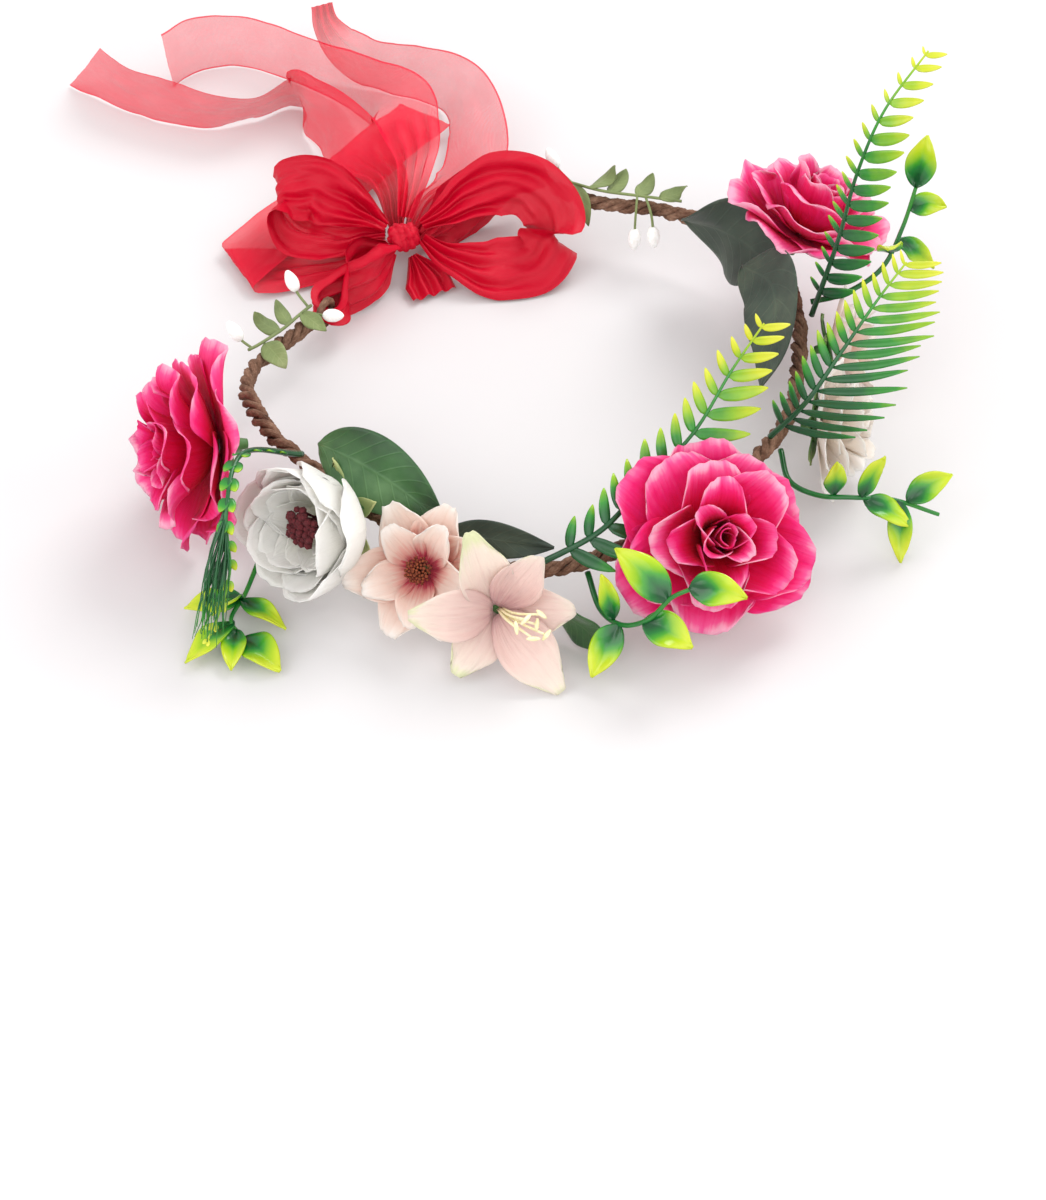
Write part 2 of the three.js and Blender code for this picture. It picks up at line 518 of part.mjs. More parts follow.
ribbon("tail_flap", [
  [...at(2, 7, -2), 1, 0, 0.2], [-32, 103, 15, 0.8, -0.3, 0.3], [-19, 121, 11, 1, -0.1, 0.2], [-14, 137, 8, 1, 0, 0.2],
  [-15, 156, 12.5, 0.8, 0.2, 0.6], [-22, 175, 13, 0.4, 0.2, 0.9], [-36, 183, 13, 0, 0.1, 1], [-48, 186, 13, 0, 0, 1],
  [-58, 190, 14, 0, 0, 1], [-68, 197, 16, 0.2, 0.2, 0.9], [-74, 203, 22, 0.6, 0.3, 0.6], [-76, 207, 31, 0.9, 0.2, 0.1],
], 24, fromKnot);

export default crown;
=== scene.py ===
import math
import random
from functools import lru_cache

import bpy
import numpy as np
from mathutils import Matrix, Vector, noise


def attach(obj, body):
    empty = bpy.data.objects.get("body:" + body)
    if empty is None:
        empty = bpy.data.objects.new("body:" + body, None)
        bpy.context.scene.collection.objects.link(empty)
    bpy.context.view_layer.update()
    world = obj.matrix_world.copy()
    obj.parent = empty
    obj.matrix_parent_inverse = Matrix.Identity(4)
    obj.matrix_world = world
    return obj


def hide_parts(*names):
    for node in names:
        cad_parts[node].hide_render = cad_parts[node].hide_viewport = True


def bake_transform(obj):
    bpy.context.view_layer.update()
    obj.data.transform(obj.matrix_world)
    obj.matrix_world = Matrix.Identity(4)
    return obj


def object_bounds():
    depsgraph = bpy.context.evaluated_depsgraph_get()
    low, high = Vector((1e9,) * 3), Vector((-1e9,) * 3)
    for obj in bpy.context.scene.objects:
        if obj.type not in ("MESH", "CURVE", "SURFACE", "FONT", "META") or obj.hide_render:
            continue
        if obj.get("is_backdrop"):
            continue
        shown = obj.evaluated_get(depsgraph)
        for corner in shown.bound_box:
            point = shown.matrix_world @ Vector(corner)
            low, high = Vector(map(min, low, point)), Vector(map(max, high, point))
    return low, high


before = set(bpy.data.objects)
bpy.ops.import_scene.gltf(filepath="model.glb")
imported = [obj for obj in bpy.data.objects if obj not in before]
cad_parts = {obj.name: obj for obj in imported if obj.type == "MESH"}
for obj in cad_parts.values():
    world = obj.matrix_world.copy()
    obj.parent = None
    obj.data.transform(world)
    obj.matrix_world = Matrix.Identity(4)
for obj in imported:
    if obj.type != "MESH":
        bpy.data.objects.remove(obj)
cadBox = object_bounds()
print("frame loaded:", len(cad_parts), "nodes")

mm = 0.001  # routes and sizes below are in millimetres, as the crown was laid out; Blender gets metres
tableGap = 0.4  # what lies on the table stops this far above it

# lines and grids


def catmullRom(points, samples):
    # a centripetal spline through the points, evenly sampled between each two of them
    points = np.array(points, float)
    before, after = 2 * points[0] - points[1], 2 * points[-1] - points[-2]
    padded = np.vstack([before, points, after])
    line = []
    for t in np.linspace(0, len(points) - 1, samples):
        i = min(int(t), len(points) - 2)
        w = t - i
        p0, p1, p2, p3 = padded[i:i + 4]
        g0, g1, g2 = (np.sum((b - a) ** 2) ** 0.25 for a, b in ((p0, p1), (p1, p2), (p2, p3)))
        g1 = g1 if g1 > 1e-4 else 1
        g0 = g0 if g0 > 1e-4 else g1
        g2 = g2 if g2 > 1e-4 else g1
        m1 = ((p1 - p0) / g0 - (p2 - p0) / (g0 + g1) + (p2 - p1) / g1) * g1
        m2 = ((p2 - p1) / g1 - (p3 - p1) / (g1 + g2) + (p3 - p2) / g2) * g1
        start = (2 * w**3 - 3 * w**2 + 1) * p1 + (w**3 - 2 * w**2 + w) * m1
        line.append(start + (3 * w**2 - 2 * w**3) * p2 + (w**3 - w**2) * m2)
    return np.array(line)


class Route:
    # a line through rows of [x, y, z], or of [x, y, z] and the direction in which a blade's width lies there
    def __init__(self, rows, samples=300):
        rows = np.array(rows, float)
        self.line = catmullRom(rows[:, :3], samples)
        self.sides = catmullRom(rows[:, 3:], samples) if rows.shape[1] > 3 else None
        steps = np.linalg.norm(np.diff(self.line, axis=0), axis=1)
        self.length = steps.sum()
        self.shares = np.concatenate([[0], np.cumsum(steps)]) / self.length

    def between(self, values, k):
        k = min(max(k, 0), len(values) - 1)
        i = min(int(k), len(values) - 2)
        return values[i] + (values[i + 1] - values[i]) * (k - i)

    @lru_cache(maxsize=4000)
    def at(self, t):
        # the point, the way on, the blade's side and its face at a share t of the length
        k = float(np.interp(t, self.shares, np.arange(len(self.shares))))
        point = Vector(self.between(self.line, k))
        ahead = Vector(self.between(self.line, k + 1) - self.between(self.line, k - 1)).normalized()
        side = Vector(self.between(self.sides, k)) if self.sides is not None else Vector((0, 0, 1))
        side = (side - ahead * side.dot(ahead)).normalized()
        return point, ahead, side, ahead.cross(side)


def smoothStep(low, high, x):
    x = min(max((x - low) / (high - low), 0), 1)
    return x * x * (3 - 2 * x)


def ripple(seed, *place):
    return noise.noise(Vector((*place, 0, 0)[:3]) + Vector((seed * 7.3, seed * 3.1, seed * 5.7)))


def clothGrid(across, along, place, tone=lambda u, v: v):
    # a grid primitive, its points put where place(u, v) says: u runs from -1 to 1 across, v from 0 to 1 along
    bpy.ops.mesh.primitive_grid_add(x_subdivisions=across, y_subdivisions=along, size=2)
    piece = bpy.context.object
    shades = piece.data.attributes.new("tone", "FLOAT", "POINT")
    for i, vertex in enumerate(piece.data.vertices):
        u, v = vertex.co.x, (vertex.co.y + 1) / 2
        point = place(u, v)
        point.z = max(point.z, tableGap)
        vertex.co = point * mm
        shades.data[i].value = tone(u, v)
    return piece


def tubeAlong(route, radius, rings, sides=8, tone=lambda t: t, knurl=lambda angle, t: 1):
    # a round stem along a route, closed at both ends
    vertices, faces, tones, uvs = [], [], [], []
    for i in range(rings + 1):
        t = i / rings
        point, ahead, side, face = route.at(t)
        for j in range(sides):
            angle = 2 * math.pi * j / sides
            r = radius(t) * knurl(angle, t)
            vertices.append((point + side * r * math.cos(angle) + face * r * math.sin(angle)) * mm)
            tones.append(tone(t))
    for i in range(rings):
        for j in range(sides):
            k = (j + 1) % sides
            faces.append((i * sides + j, i * sides + k, (i + 1) * sides + k, (i + 1) * sides + j))
            uvs += [(j / sides, i / rings), ((j + 1) / sides, i / rings),
                    ((j + 1) / sides, (i + 1) / rings), (j / sides, (i + 1) / rings)]
    faces += [tuple(range(sides))[::-1], tuple(range(rings * sides, (rings + 1) * sides))]
    uvs += [(j / sides, 0) for j in range(sides)][::-1] + [(j / sides, 1) for j in range(sides)]
    mesh = bpy.data.meshes.new("stem")
    mesh.from_pydata(vertices, [], faces)
    mesh.uv_layers.new(name="UVMap").data.foreach_set("uv", [c for uv in uvs for c in uv])
    mesh.attributes.new("tone", "FLOAT", "POINT").data.foreach_set("value", tones)
    piece = bpy.data.objects.new("stem", mesh)
    bpy.context.collection.objects.link(piece)
    return piece


def activate(piece):
    bpy.ops.object.select_all(action="DESELECT")
    piece.select_set(True)
    bpy.context.view_layer.objects.active = piece


def joinAll(name, parts):
    activate(parts[0])
    for part in parts:
        part.select_set(True)
    if len(parts) > 1:
        bpy.ops.object.join()
    parts[0].name = parts[0].data.name = name
    return parts[0]


def thicken(piece, thickness):
    activate(piece)
    wall = piece.modifiers.new("wall", "SOLIDIFY")
    wall.thickness, wall.offset = thickness * mm, 0
    bpy.ops.object.modifier_apply(modifier="wall")
    return piece


def dress(piece, material, slot, nodes, body="root"):
    # gives a finished piece its material, says which body it moves with, and hides the nodes of the frame that
    # it stands for
    piece.data.materials.clear()
    piece.data.materials.append(material)
    activate(piece)
    bpy.ops.object.shade_smooth()
    if nodes:
        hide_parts(*nodes)
    if body:
        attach(piece, body)
    return piece


# materials


def toLinear(colour):
    channels = [int(colour[i:i + 2], 16) / 255 for i in (1, 3, 5)]
    return [c / 12.92 if c <= 0.04045 else ((c + 0.055) / 1.055) ** 2.4 for c in channels] + [1]


def newMaterial(name):
    material = bpy.data.materials.new(name)
    material.use_nodes = True
    material.node_tree.nodes.clear()
    return material


def addNode(material, kind, settings=None, links=None):
    # a node with its settings and what feeds it, a socket or the first output of a node; stops fill a ramp
    node = material.node_tree.nodes.new("ShaderNode" + kind)
    for key, value in (settings or {}).items():
        if key == "stops":
            ramp = node.color_ramp
            while len(ramp.elements) < len(value):
                ramp.elements.new(1)
            for element, (place, colour) in zip(ramp.elements, value):
                element.position, element.color = place, toLinear(colour)
        elif isinstance(key, int) or key in node.inputs:
            node.inputs[key].default_value = value
        else:
            setattr(node, key, value)
    for key, source in (links or {}).items():
        socket = source.outputs[0] if hasattr(source, "outputs") else source
        material.node_tree.links.new(socket, node.inputs[key])
    return node


def weaveOf(material, acrossThreads, alongThreads):
    # the bump height of a plain weave: the threads of both directions, counted over the piece's own UV map
    uv = addNode(material, "UVMap")
    wave = 0.314  # the scale that gives one wave over the whole map
    warp = addNode(material, "TexWave", {"bands_direction": "X", "Scale": wave * acrossThreads}, {"Vector": uv})
    weft = addNode(material, "TexWave", {"bands_direction": "Y", "Scale": wave * alongThreads}, {"Vector": uv})
    return addNode(material, "Math", {"operation": "ADD"}, {0: warp.outputs["Fac"], 1: weft.outputs["Fac"]})


def petalCloth(name, stops, glow=0.22, sheen=0.25):
    # dyed polyester taffeta, cut with a die and pressed hot: soft matt cloth with a faint weave, creases that
    # fan out from the foot and a silky sheen at grazing angles, its dye paler towards the rim, and thin
    # enough to glow a little
    material = newMaterial(name)
    tone = addNode(material, "Attribute", {"attribute_name": "tone"})
    place = addNode(material, "TexCoord")
    blotch = addNode(material, "TexNoise", {"Scale": 110, "Detail": 4, "Roughness": 0.6},
                     {"Vector": place.outputs["Object"]})
    spread = addNode(material, "Math", {"operation": "MULTIPLY_ADD", 1: 0.22, 2: -0.11}, {0: blotch})
    uv = addNode(material, "UVMap")
    fanned = addNode(material, "Mapping", {"Scale": (15, 1.5, 1)}, {"Vector": uv})
    creases = addNode(material, "TexNoise", {"Scale": 1.0, "Detail": 3, "Roughness": 0.55}, {"Vector": fanned})
    streaks = addNode(material, "Math", {"operation": "MULTIPLY_ADD", 1: 0.34, 2: -0.17}, {0: creases})
    uneven = addNode(material, "Math", {"operation": "ADD"}, {0: streaks, 1: spread})
    dye = addNode(material, "Math", {"operation": "ADD"}, {0: tone.outputs["Fac"], 1: uneven})
    colour = addNode(material, "ValToRGB", {"stops": stops}, {"Fac": dye})
    threads = weaveOf(material, 70, 70)  # 0.45 mm threads, coarser than real so that they show
    weave = addNode(material, "Bump", {"Strength": 0.25, "Distance": 0.0002}, {"Height": threads})
    bump = addNode(material, "Bump", {"Strength": 0.55, "Distance": 0.0016},
                   {"Height": creases, "Normal": weave})
    cloth = addNode(material, "BsdfPrincipled", {
        "Roughness": 0.7, "IOR": 1.5, "Specular IOR Level": 0.5 * sheen + 0.08,
        "Sheen Weight": sheen, "Sheen Roughness": 0.45,
    }, {"Base Color": colour, "Normal": bump})
    through = addNode(material, "BsdfTranslucent", {}, {"Color": colour})
    both = addNode(material, "MixShader", {0: glow}, {1: cloth, 2: through})
    addNode(material, "OutputMaterial", {}, {"Surface": both})
    return material


def mouldedPlastic(name, stops, roughness, uneven=0.3, scale=120, specular=0.5):
    # soft polyethylene, injection moulded and then sprayed with a second colour from the tips: glossy,
    # with a blotchy change from one green to the other and small dents of the mould
    material = newMaterial(name)
    tone = addNode(material, "Attribute", {"attribute_name": "tone"})
    place = addNode(material, "TexCoord")
    spray = addNode(material, "TexNoise", {"Scale": scale, "Detail": 3}, {"Vector": place.outputs["Object"]})
    drift = addNode(material, "Math", {"operation": "MULTIPLY_ADD", 1: uneven, 2: -uneven / 2}, {0: spray})
    amount = addNode(material, "Math", {"operation": "ADD"}, {0: tone.outputs["Fac"], 1: drift})
    colour = addNode(material, "ValToRGB", {"stops": stops}, {"Fac": amount})
    dents = addNode(material, "TexNoise", {"Scale": 500, "Detail": 2}, {"Vector": place.outputs["Object"]})
    bump = addNode(material, "Bump", {"Strength": 0.15, "Distance": 0.0003}, {"Height": dents})
    plastic = addNode(material, "BsdfPrincipled", {
        "Roughness": roughness, "IOR": 1.51, "Specular IOR Level": specular,
    }, {"Base Color": colour, "Normal": bump})
    addNode(material, "OutputMaterial", {}, {"Surface": plastic})
    return material


def leafCloth(name, stops, roughness, sheen, veins=9):
    # woven polyester, printed green and pressed with a midrib and side veins: threads show, and the
    # satin side catches a streaky light
    material = newMaterial(name)
    uv = addNode(material, "UVMap")
    parts = addNode(material, "SeparateXYZ", {}, {0: uv})
    offset = addNode(material, "Math", {"operation": "SUBTRACT", 1: 0.5}, {0: parts})
    fromRib = addNode(material, "Math", {"operation": "ABSOLUTE"}, {0: offset})
    slant = addNode(material, "Math", {"operation": "MULTIPLY_ADD", 1: -0.42},
                    {0: fromRib, 2: parts.outputs["Y"]})
    rows = addNode(material, "Math", {"operation": "MULTIPLY", 1: veins}, {0: slant})
    saw = addNode(material, "Math", {"operation": "PINGPONG", 1: 0.5}, {0: rows})
    sideVein = addNode(material, "MapRange", {1: 0.0, 2: 0.09, 3: 1.0, 4: 0.0}, {0: saw})
    rib = addNode(material, "MapRange", {1: 0.0, 2: 0.035, 3: 1.0, 4: 0.0}, {0: fromRib})
    vein = addNode(material, "Math", {"operation": "MAXIMUM"}, {0: sideVein, 1: rib})
    place = addNode(material, "TexCoord")
    printed = addNode(material, "TexNoise", {"Scale": 70, "Detail": 5}, {"Vector": place.outputs["Object"]})
    amount = addNode(material, "Math", {"operation": "MULTIPLY_ADD", 1: 0.1}, {0: vein, 2: printed})
    colour = addNode(material, "ValToRGB", {"stops": stops}, {"Fac": amount})
    threads = weaveOf(material, 60, 130)
    height = addNode(material, "Math", {"operation": "MULTIPLY_ADD", 1: 0.18}, {0: threads, 2: vein})
    bump = addNode(material, "Bump", {"Strength": 0.3, "Distance": 0.0004}, {"Height": height})
    cloth = addNode(material, "BsdfPrincipled", {
        "Roughness": roughness, "IOR": 1.5, "Sheen Weight": sheen, "Sheen Roughness": 0.4,
    }, {"Base Color": colour, "Normal": bump})
    addNode(material, "OutputMaterial", {}, {"Surface": cloth})
    return material


def twistedPaper():
    # kraft paper cut in strips, wetted and twisted into cord: dull brown, fine grooves that run round it
    # with the twist, with painted shade dark in the grooves and painted light pale on the ridges
    material = newMaterial("twisted_kraft_paper")
    uv = addNode(material, "UVMap")
    stretched = addNode(material, "Mapping", {"Scale": (5, 90, 1)}, {"Vector": uv})
    sliversAndShade = addNode(material, "TexNoise", {"Scale": 2.2, "Detail": 6, "Roughness": 0.7},
                      {"Vector": stretched})
    place = addNode(material, "TexCoord")
    stain = addNode(material, "TexNoise", {"Scale": 160, "Detail": 3}, {"Vector": place.outputs["Object"]})
    # painted shade and light: the groove noise darkens the colour in the grooves and pales it on the ridges
    amount = addNode(material, "Math", {"operation": "MULTIPLY_ADD", 1: 0.6, 2: -0.1}, {0: sliversAndShade})
    total = addNode(material, "Math", {"operation": "MULTIPLY_ADD", 1: 0.5}, {0: stain, 2: amount})
    colour = addNode(material, "ValToRGB", {"stops": [
        (0.24, "#3A281E"), (0.4, "#70503F"), (0.56, "#977560"), (0.76, "#C4A68C"),
    ]}, {"Fac": total})
    bump = addNode(material, "Bump", {"Strength": 0.9, "Distance": 0.0007}, {"Height": sliversAndShade})
    paper = addNode(material, "BsdfPrincipled", {"Roughness": 0.86, "IOR": 1.45, "Specular IOR Level": 0.3},
                    {"Base Color": colour, "Normal": bump})
    addNode(material, "OutputMaterial", {}, {"Surface": paper})
    return material


def organzaWeave():
    # nylon organza, woven open from single filaments: one layer is a pink veil, gathered cloth is solid crimson
    # and darker, partly with painted shade, and the doubled selvage makes a fine dark line along both edges
    material = newMaterial("woven_nylon_organza")
    uv = addNode(material, "UVMap")
    parts = addNode(material, "SeparateXYZ", {}, {0: uv})
    offset = addNode(material, "Math", {"operation": "SUBTRACT", 1: 0.5}, {0: parts})
    fromMiddle = addNode(material, "Math", {"operation": "ABSOLUTE"}, {0: offset})
    selvage = addNode(material, "MapRange", {1: 0.466, 2: 0.474, 3: 0.0, 4: 0.86}, {0: fromMiddle})
    layers = addNode(material, "Attribute", {"attribute_name": "tone"})
    place = addNode(material, "TexCoord")
    cloud = addNode(material, "TexNoise", {"Scale": 60, "Detail": 3}, {"Vector": place.outputs["Object"]})
    threads = weaveOf(material, 48, 400)  # every second thread of the real 0.25 mm spacing
    finer = addNode(material, "Math", {"operation": "MULTIPLY_ADD", 1: 0.22, 2: 0.58}, {0: threads})
    clouded = addNode(material, "Math", {"operation": "MULTIPLY_ADD", 1: 0.5}, {0: cloud, 2: finer})
    depth = addNode(material, "Math", {"operation": "MULTIPLY"}, {0: layers.outputs["Fac"], 1: clouded})
    left = addNode(material, "Math", {"operation": "POWER", 0: 0.56}, {1: depth})
    coverAndShade = addNode(material, "Math", {"operation": "SUBTRACT", 0: 1.0}, {1: left})
    alpha = addNode(material, "Math", {"operation": "MAXIMUM"}, {0: coverAndShade, 1: selvage})
    # the colour darkens as the cover grows: deeper dye where layers stack, and painted shade on the gathered
    # knot and loops
    colour = addNode(material, "ValToRGB", {"stops": [
        (0.0, "#EE1042"), (0.55, "#E60034"), (0.9, "#D8002C"), (1.0, "#C40026")]},
                     {"Fac": coverAndShade})
    bump = addNode(material, "Bump", {"Strength": 0.2, "Distance": 0.0003}, {"Height": threads})
    cloth = addNode(material, "BsdfPrincipled", {
        "Roughness": 0.4, "IOR": 1.53, "Specular IOR Level": 0.2,
    }, {"Base Color": colour, "Alpha": alpha, "Normal": bump})
    addNode(material, "OutputMaterial", {}, {"Surface": cloth})
    return material


def plainGrain(name, dark, light, roughness, scale, depth=0.0003, metallic=0.0):
    # a small plain part with a fine grain: foam, flocked stamens, lacquered wire
    material = newMaterial(name)
    place = addNode(material, "TexCoord")
    grain = addNode(material, "TexNoise", {"Scale": scale, "Detail": 4}, {"Vector": place.outputs["Object"]})
    colour = addNode(material, "ValToRGB", {"stops": [(0.3, dark), (0.7, light)]}, {"Fac": grain})
    bump = addNode(material, "Bump", {"Strength": 0.4, "Distance": depth}, {"Height": grain})
    part = addNode(material, "BsdfPrincipled", {"Roughness": roughness, "Metallic": metallic},
                   {"Base Color": colour, "Normal": bump})
    addNode(material, "OutputMaterial", {}, {"Surface": part})
    return material


pinkPetal = petalCloth("pressed_taffeta_hot_pink", [
    (0.0, "#B0001A"), (0.2, "#DC022C"), (0.4, "#EC0E50"), (0.62, "#F62A7E"),
    (0.82, "#FC62A6"), (1.0, "#FFBAD4"),
], glow=0.3, sheen=0.05)
ivoryPetal = petalCloth("pressed_taffeta_ivory", [
    (0.0, "#D6DAB0"), (0.16, "#F0EFE0"), (0.5, "#FAF9F4"), (1.0, "#FEFDFB"),
], glow=0.42)
peachPetal = petalCloth("pressed_taffeta_peach", [
    (0.0, "#9C2030"), (0.2, "#D8485E"), (0.34, "#F0AFA2"), (0.5, "#F9DDD0"),
    (0.78, "#FCEFE6"), (1.0, "#FEF8F3"),
], glow=0.36)
blushPetal = petalCloth("pressed_taffeta_blush", [
    (0.0, "#D59AA0"), (0.22, "#EDCBC6"), (0.5, "#F8E2DA"), (0.78, "#FBF0E4"), (1.0, "#F0F2CC"),
], glow=0.34)
creamPetal = petalCloth("pressed_taffeta_cream", [
    (0.0, "#F0DCC4"), (0.3, "#F8ECDF"), (0.7, "#FCF6F0"), (1.0, "#FFFDFB"),
], glow=0.42)
sepalPlastic = mouldedPlastic("moulded_polyethylene_calyx", [
    (0.0, "#2F5A2C"), (0.5, "#4C7A3A"), (1.0, "#C9CF8C"),
], roughness=0.5)
fernPlastic = mouldedPlastic("moulded_polyethylene_fern", [
    (0.0, "#123C26"), (0.28, "#1A5E2E"), (0.46, "#2F8A2C"), (0.62, "#82B41E"),
    (0.8, "#C4CE22"), (1.0, "#DEDC44"),
], roughness=0.26)
sprigPlastic = mouldedPlastic("moulded_polyethylene_sprig", [
    (0.0, "#0E4A24"), (0.25, "#15702A"), (0.42, "#3C9420"), (0.6, "#82B416"),
    (0.8, "#A8C614"), (1.0, "#C6D22A"),
], roughness=0.2)
satinLeaf = leafCloth("printed_polyester_satin", [
    (0.3, "#1F4024"), (0.55, "#33602F"), (0.85, "#5B8450"),
], roughness=0.42, sheen=0.35)
dullLeaf = leafCloth("printed_polyester_underside", [
    (0.3, "#26332A"), (0.55, "#38463A"), (0.9, "#56634F"),
], roughness=0.66, sheen=0.15)
sageLeaf = leafCloth("pressed_paper_sage", [
    (0.25, "#56663A"), (0.6, "#7F8E56"), (0.95, "#B4BA8A"),
], roughness=0.6, sheen=0.1, veins=6)
paperCord = twistedPaper()
organza = organzaWeave()
foamBud = plainGrain("moulded_polystyrene_foam", "#EDECE6", "#FFFFFF", roughness=0.75, scale=900)
burgundyTip = plainGrain("flocked_thread_burgundy", "#3E0F16", "#6E2229", roughness=0.9, scale=1400)
rustTip = plainGrain("flocked_thread_rust", "#4A1B10", "#9A4A26", roughness=0.9, scale=1400)
creamTip = plainGrain("waxed_thread_cream", "#EADFA8", "#F8F1CE", roughness=0.5, scale=700)
wireLacquer = plainGrain("drawn_steel_green_lacquer", "#3C4E42", "#5E7264", roughness=0.35, scale=300,
                         depth=0.0001, metallic=0.6)
print("materials made:", len(bpy.data.materials))

# camera, light and table

studio = {
    "target": (0.003844, -0.092434, 0.0), "elevation": 46, "distance": 1.0, "lens": 90,
    "sky": 0.86, "lamps": {  # place in metres, power in watts, size in metres
        "key": ((0.7, 0.9, 1.3), 15, 0.9), "fill": ((-1.2, -0.6, 0.9), 9, 1.2),
        "front": ((0.2, -1.5, 1.1), 11, 1.6), "right": ((1.5, -0.3, 0.8), 5, 1.2),
    },
}
rise = math.radians(studio["elevation"])
target = Vector(studio["target"])
bpy.ops.object.camera_add(
    location=target + studio["distance"] * Vector((0, -math.cos(rise), math.sin(rise))),
    rotation=(math.pi / 2 - rise, 0, 0),
)
camera = bpy.context.object
camera.data.lens, camera.data.sensor_width, camera.data.sensor_fit = studio["lens"], 36, "AUTO"
bpy.context.scene.camera = camera
bpy.context.scene.view_settings.view_transform = "Standard"

bpy.ops.mesh.primitive_plane_add(size=30)
table = bpy.context.object
table.name = "table"
tableTop = newMaterial("matt_paper_sweep")  # matt coated background paper: even, white, no gloss
tablePlace = addNode(tableTop, "TexCoord")
tableFibre = addNode(tableTop, "TexNoise", {"Scale": 6, "Detail": 2}, {"Vector": tablePlace.outputs["Object"]})
tableColour = addNode(tableTop, "ValToRGB", {"stops": [(0.0, "#D5D3D4"), (1.0, "#DCDADB")]},
                      {"Fac": tableFibre})
tablePaper = addNode(tableTop, "BsdfPrincipled", {"Roughness": 0.9, "Specular IOR Level": 0.1},
                     {"Base Color": tableColour})
addNode(tableTop, "OutputMaterial", {}, {"Surface": tablePaper})
table.data.materials.append(tableTop)
table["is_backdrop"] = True

world = bpy.data.worlds.new("studio")
world.use_nodes = True
world.node_tree.nodes["Background"].inputs["Color"].default_value = (1, 0.995, 0.99, 1)
world.node_tree.nodes["Background"].inputs["Strength"].default_value = studio["sky"]
bpy.context.scene.world = world
for name, (place, power, size) in studio["lamps"].items():
    bpy.ops.object.light_add(type="AREA", location=place)
    lamp = bpy.context.object
    lamp.name = name
    lamp.data.energy, lamp.data.size = power, size
    lamp.rotation_euler = (Vector((0, 0, 0)) - Vector(place)).to_track_quat("-Z", "Y").to_euler()
print("studio set")

# the vine band

vine = {
    "route": [
        [-70, 36, 15], [-76, 25, 16], [-86, 11, 18], [-92, -7, 22], [-88, -28, 27], [-77, -47, 28],
        [-58, -64, 25], [-39, -80, 22], [-18, -94, 21], [9, -99, 21], [36, -92, 24], [60, -75, 27],
        [80, -55, 27], [93, -33, 25], [99, -7, 24], [101, 19, 26], [97, 44, 28], [86, 66, 27],
        [67, 80, 24], [48, 88, 22], [32, 92, 21], [18, 100, 20], [10, 106, 20],
    ],
    "pitch": 17.5, "strandRadius": 1.3, "strandOffset": 1.5, "loose": 1.1, "grooves": 4,
    "eyePitch": 34, "eyeOffset": 1.8, "eyeRadius": 4.6, "eyeSteps": 14,
    "leftTip": 0.004, "rightTip": 0.996, "middle": 0.46,
    "leftHinge": (-91, -12, 23), "rightHinge": (70, 78, 25), "hingeBlend": 5,
}
band = Route(vine["route"], 900)


def strandPoint(t, phase, pitch=vine["pitch"], reach=vine["strandOffset"]):
    point, ahead, _, _ = band.at(t)
    out = ahead.cross(Vector((0, 0, 1))).normalized()
    up = out.cross(ahead).normalized()
    angle = phase + 2 * math.pi * t * band.length / pitch
    if pitch == vine["pitch"]:
        reach += vine["loose"] * ripple(phase + 40, t * band.length / 14)
    return point + out * reach * math.cos(angle) + up * reach * math.sin(angle)


def eyeFoot(t):
    return strandPoint(t, math.pi, vine["eyePitch"], vine["eyeOffset"])


def paperStrand(start, end, phase, tip=None):
    steps = round(abs(end - start) * band.length / 1.2)
    rows = []
    for i in range(steps + 1):
        t = start + (end - start) * i / steps
        leaving = 0 if tip is None else 1 - smoothStep(0, 9, abs(tip - t) * band.length)
        rows.append(list(strandPoint(t, phase).lerp(eyeFoot(t), leaving)))
    if tip is not None:  # bent round into the eye for the ribbon
        centre, ahead, axis = eyeFrame(tip)
        lift = ahead.cross(axis)
        rows += [
            list(centre - ahead * vine["eyeRadius"] * math.cos(a) + lift * vine["eyeRadius"] * math.sin(a))
            for a in (2 * math.pi * k / vine["eyeSteps"] for k in range(1, vine["eyeSteps"] + 1))
        ]
    route = Route(rows, 6 * len(rows))
    rings = round(route.length / 0.8)
    turns = route.length / 9

    def grooved(angle, t):
        twisted = 0.13 * math.sin(vine["grooves"] * (angle + 2 * math.pi * turns * t))
        return 1 + twisted + 0.06 * math.sin(9 * angle + 31 * t)

    return tubeAlong(
        route, lambda t: vine["strandRadius"] * (1 + 0.28 * ripple(3, route.length * t / 5, phase)), rings, 14,
        knurl=grooved,
    )


def eyeFrame(tip):
    # the upright eye at an end of the vine: its centre, the way the vine points there and the eye's own axis
    ahead = band.at(tip)[1] * (-1 if tip < 0.5 else 1)
    axis = ahead.cross(Vector((0, 0, 1))).normalized()
    return eyeFoot(tip) + ahead * vine["eyeRadius"], ahead, axis


for side, hinge in (("left", vine["leftHinge"]), ("right", vine["rightHinge"])):
    tip = vine[side + "Tip"]
    inner = tip + (0.008 if side == "left" else -0.008)
    half = joinAll("vine_" + side, [
        paperStrand(vine["middle"], tip, math.pi, tip), paperStrand(vine["middle"], inner, math.pi / 3),
        paperStrand(vine["middle"], inner, -math.pi / 3),
    ])
    nodes = [side + "_end_strand_a", side + "_end_strand_b"]
    nodes += ["vine_strand_a", "vine_strand_b"] if side == "left" else []
    dress(half, paperCord, "paper_vine", nodes, body=None)
    hingeShare = min(np.linspace(0, 1, 400), key=lambda t: (band.at(float(t))[0] - Vector(hinge)).length)
    outward = band.at(float(hingeShare))[1] * (-1 if side == "left" else 1)
    pivot = band.at(float(hingeShare))[0]
    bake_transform(half)
bpy.data.objects["core_wire"].data.materials.clear()
bpy.data.objects["core_wire"].data.materials.append(wireLacquer)
print("vine twisted")

# flowers


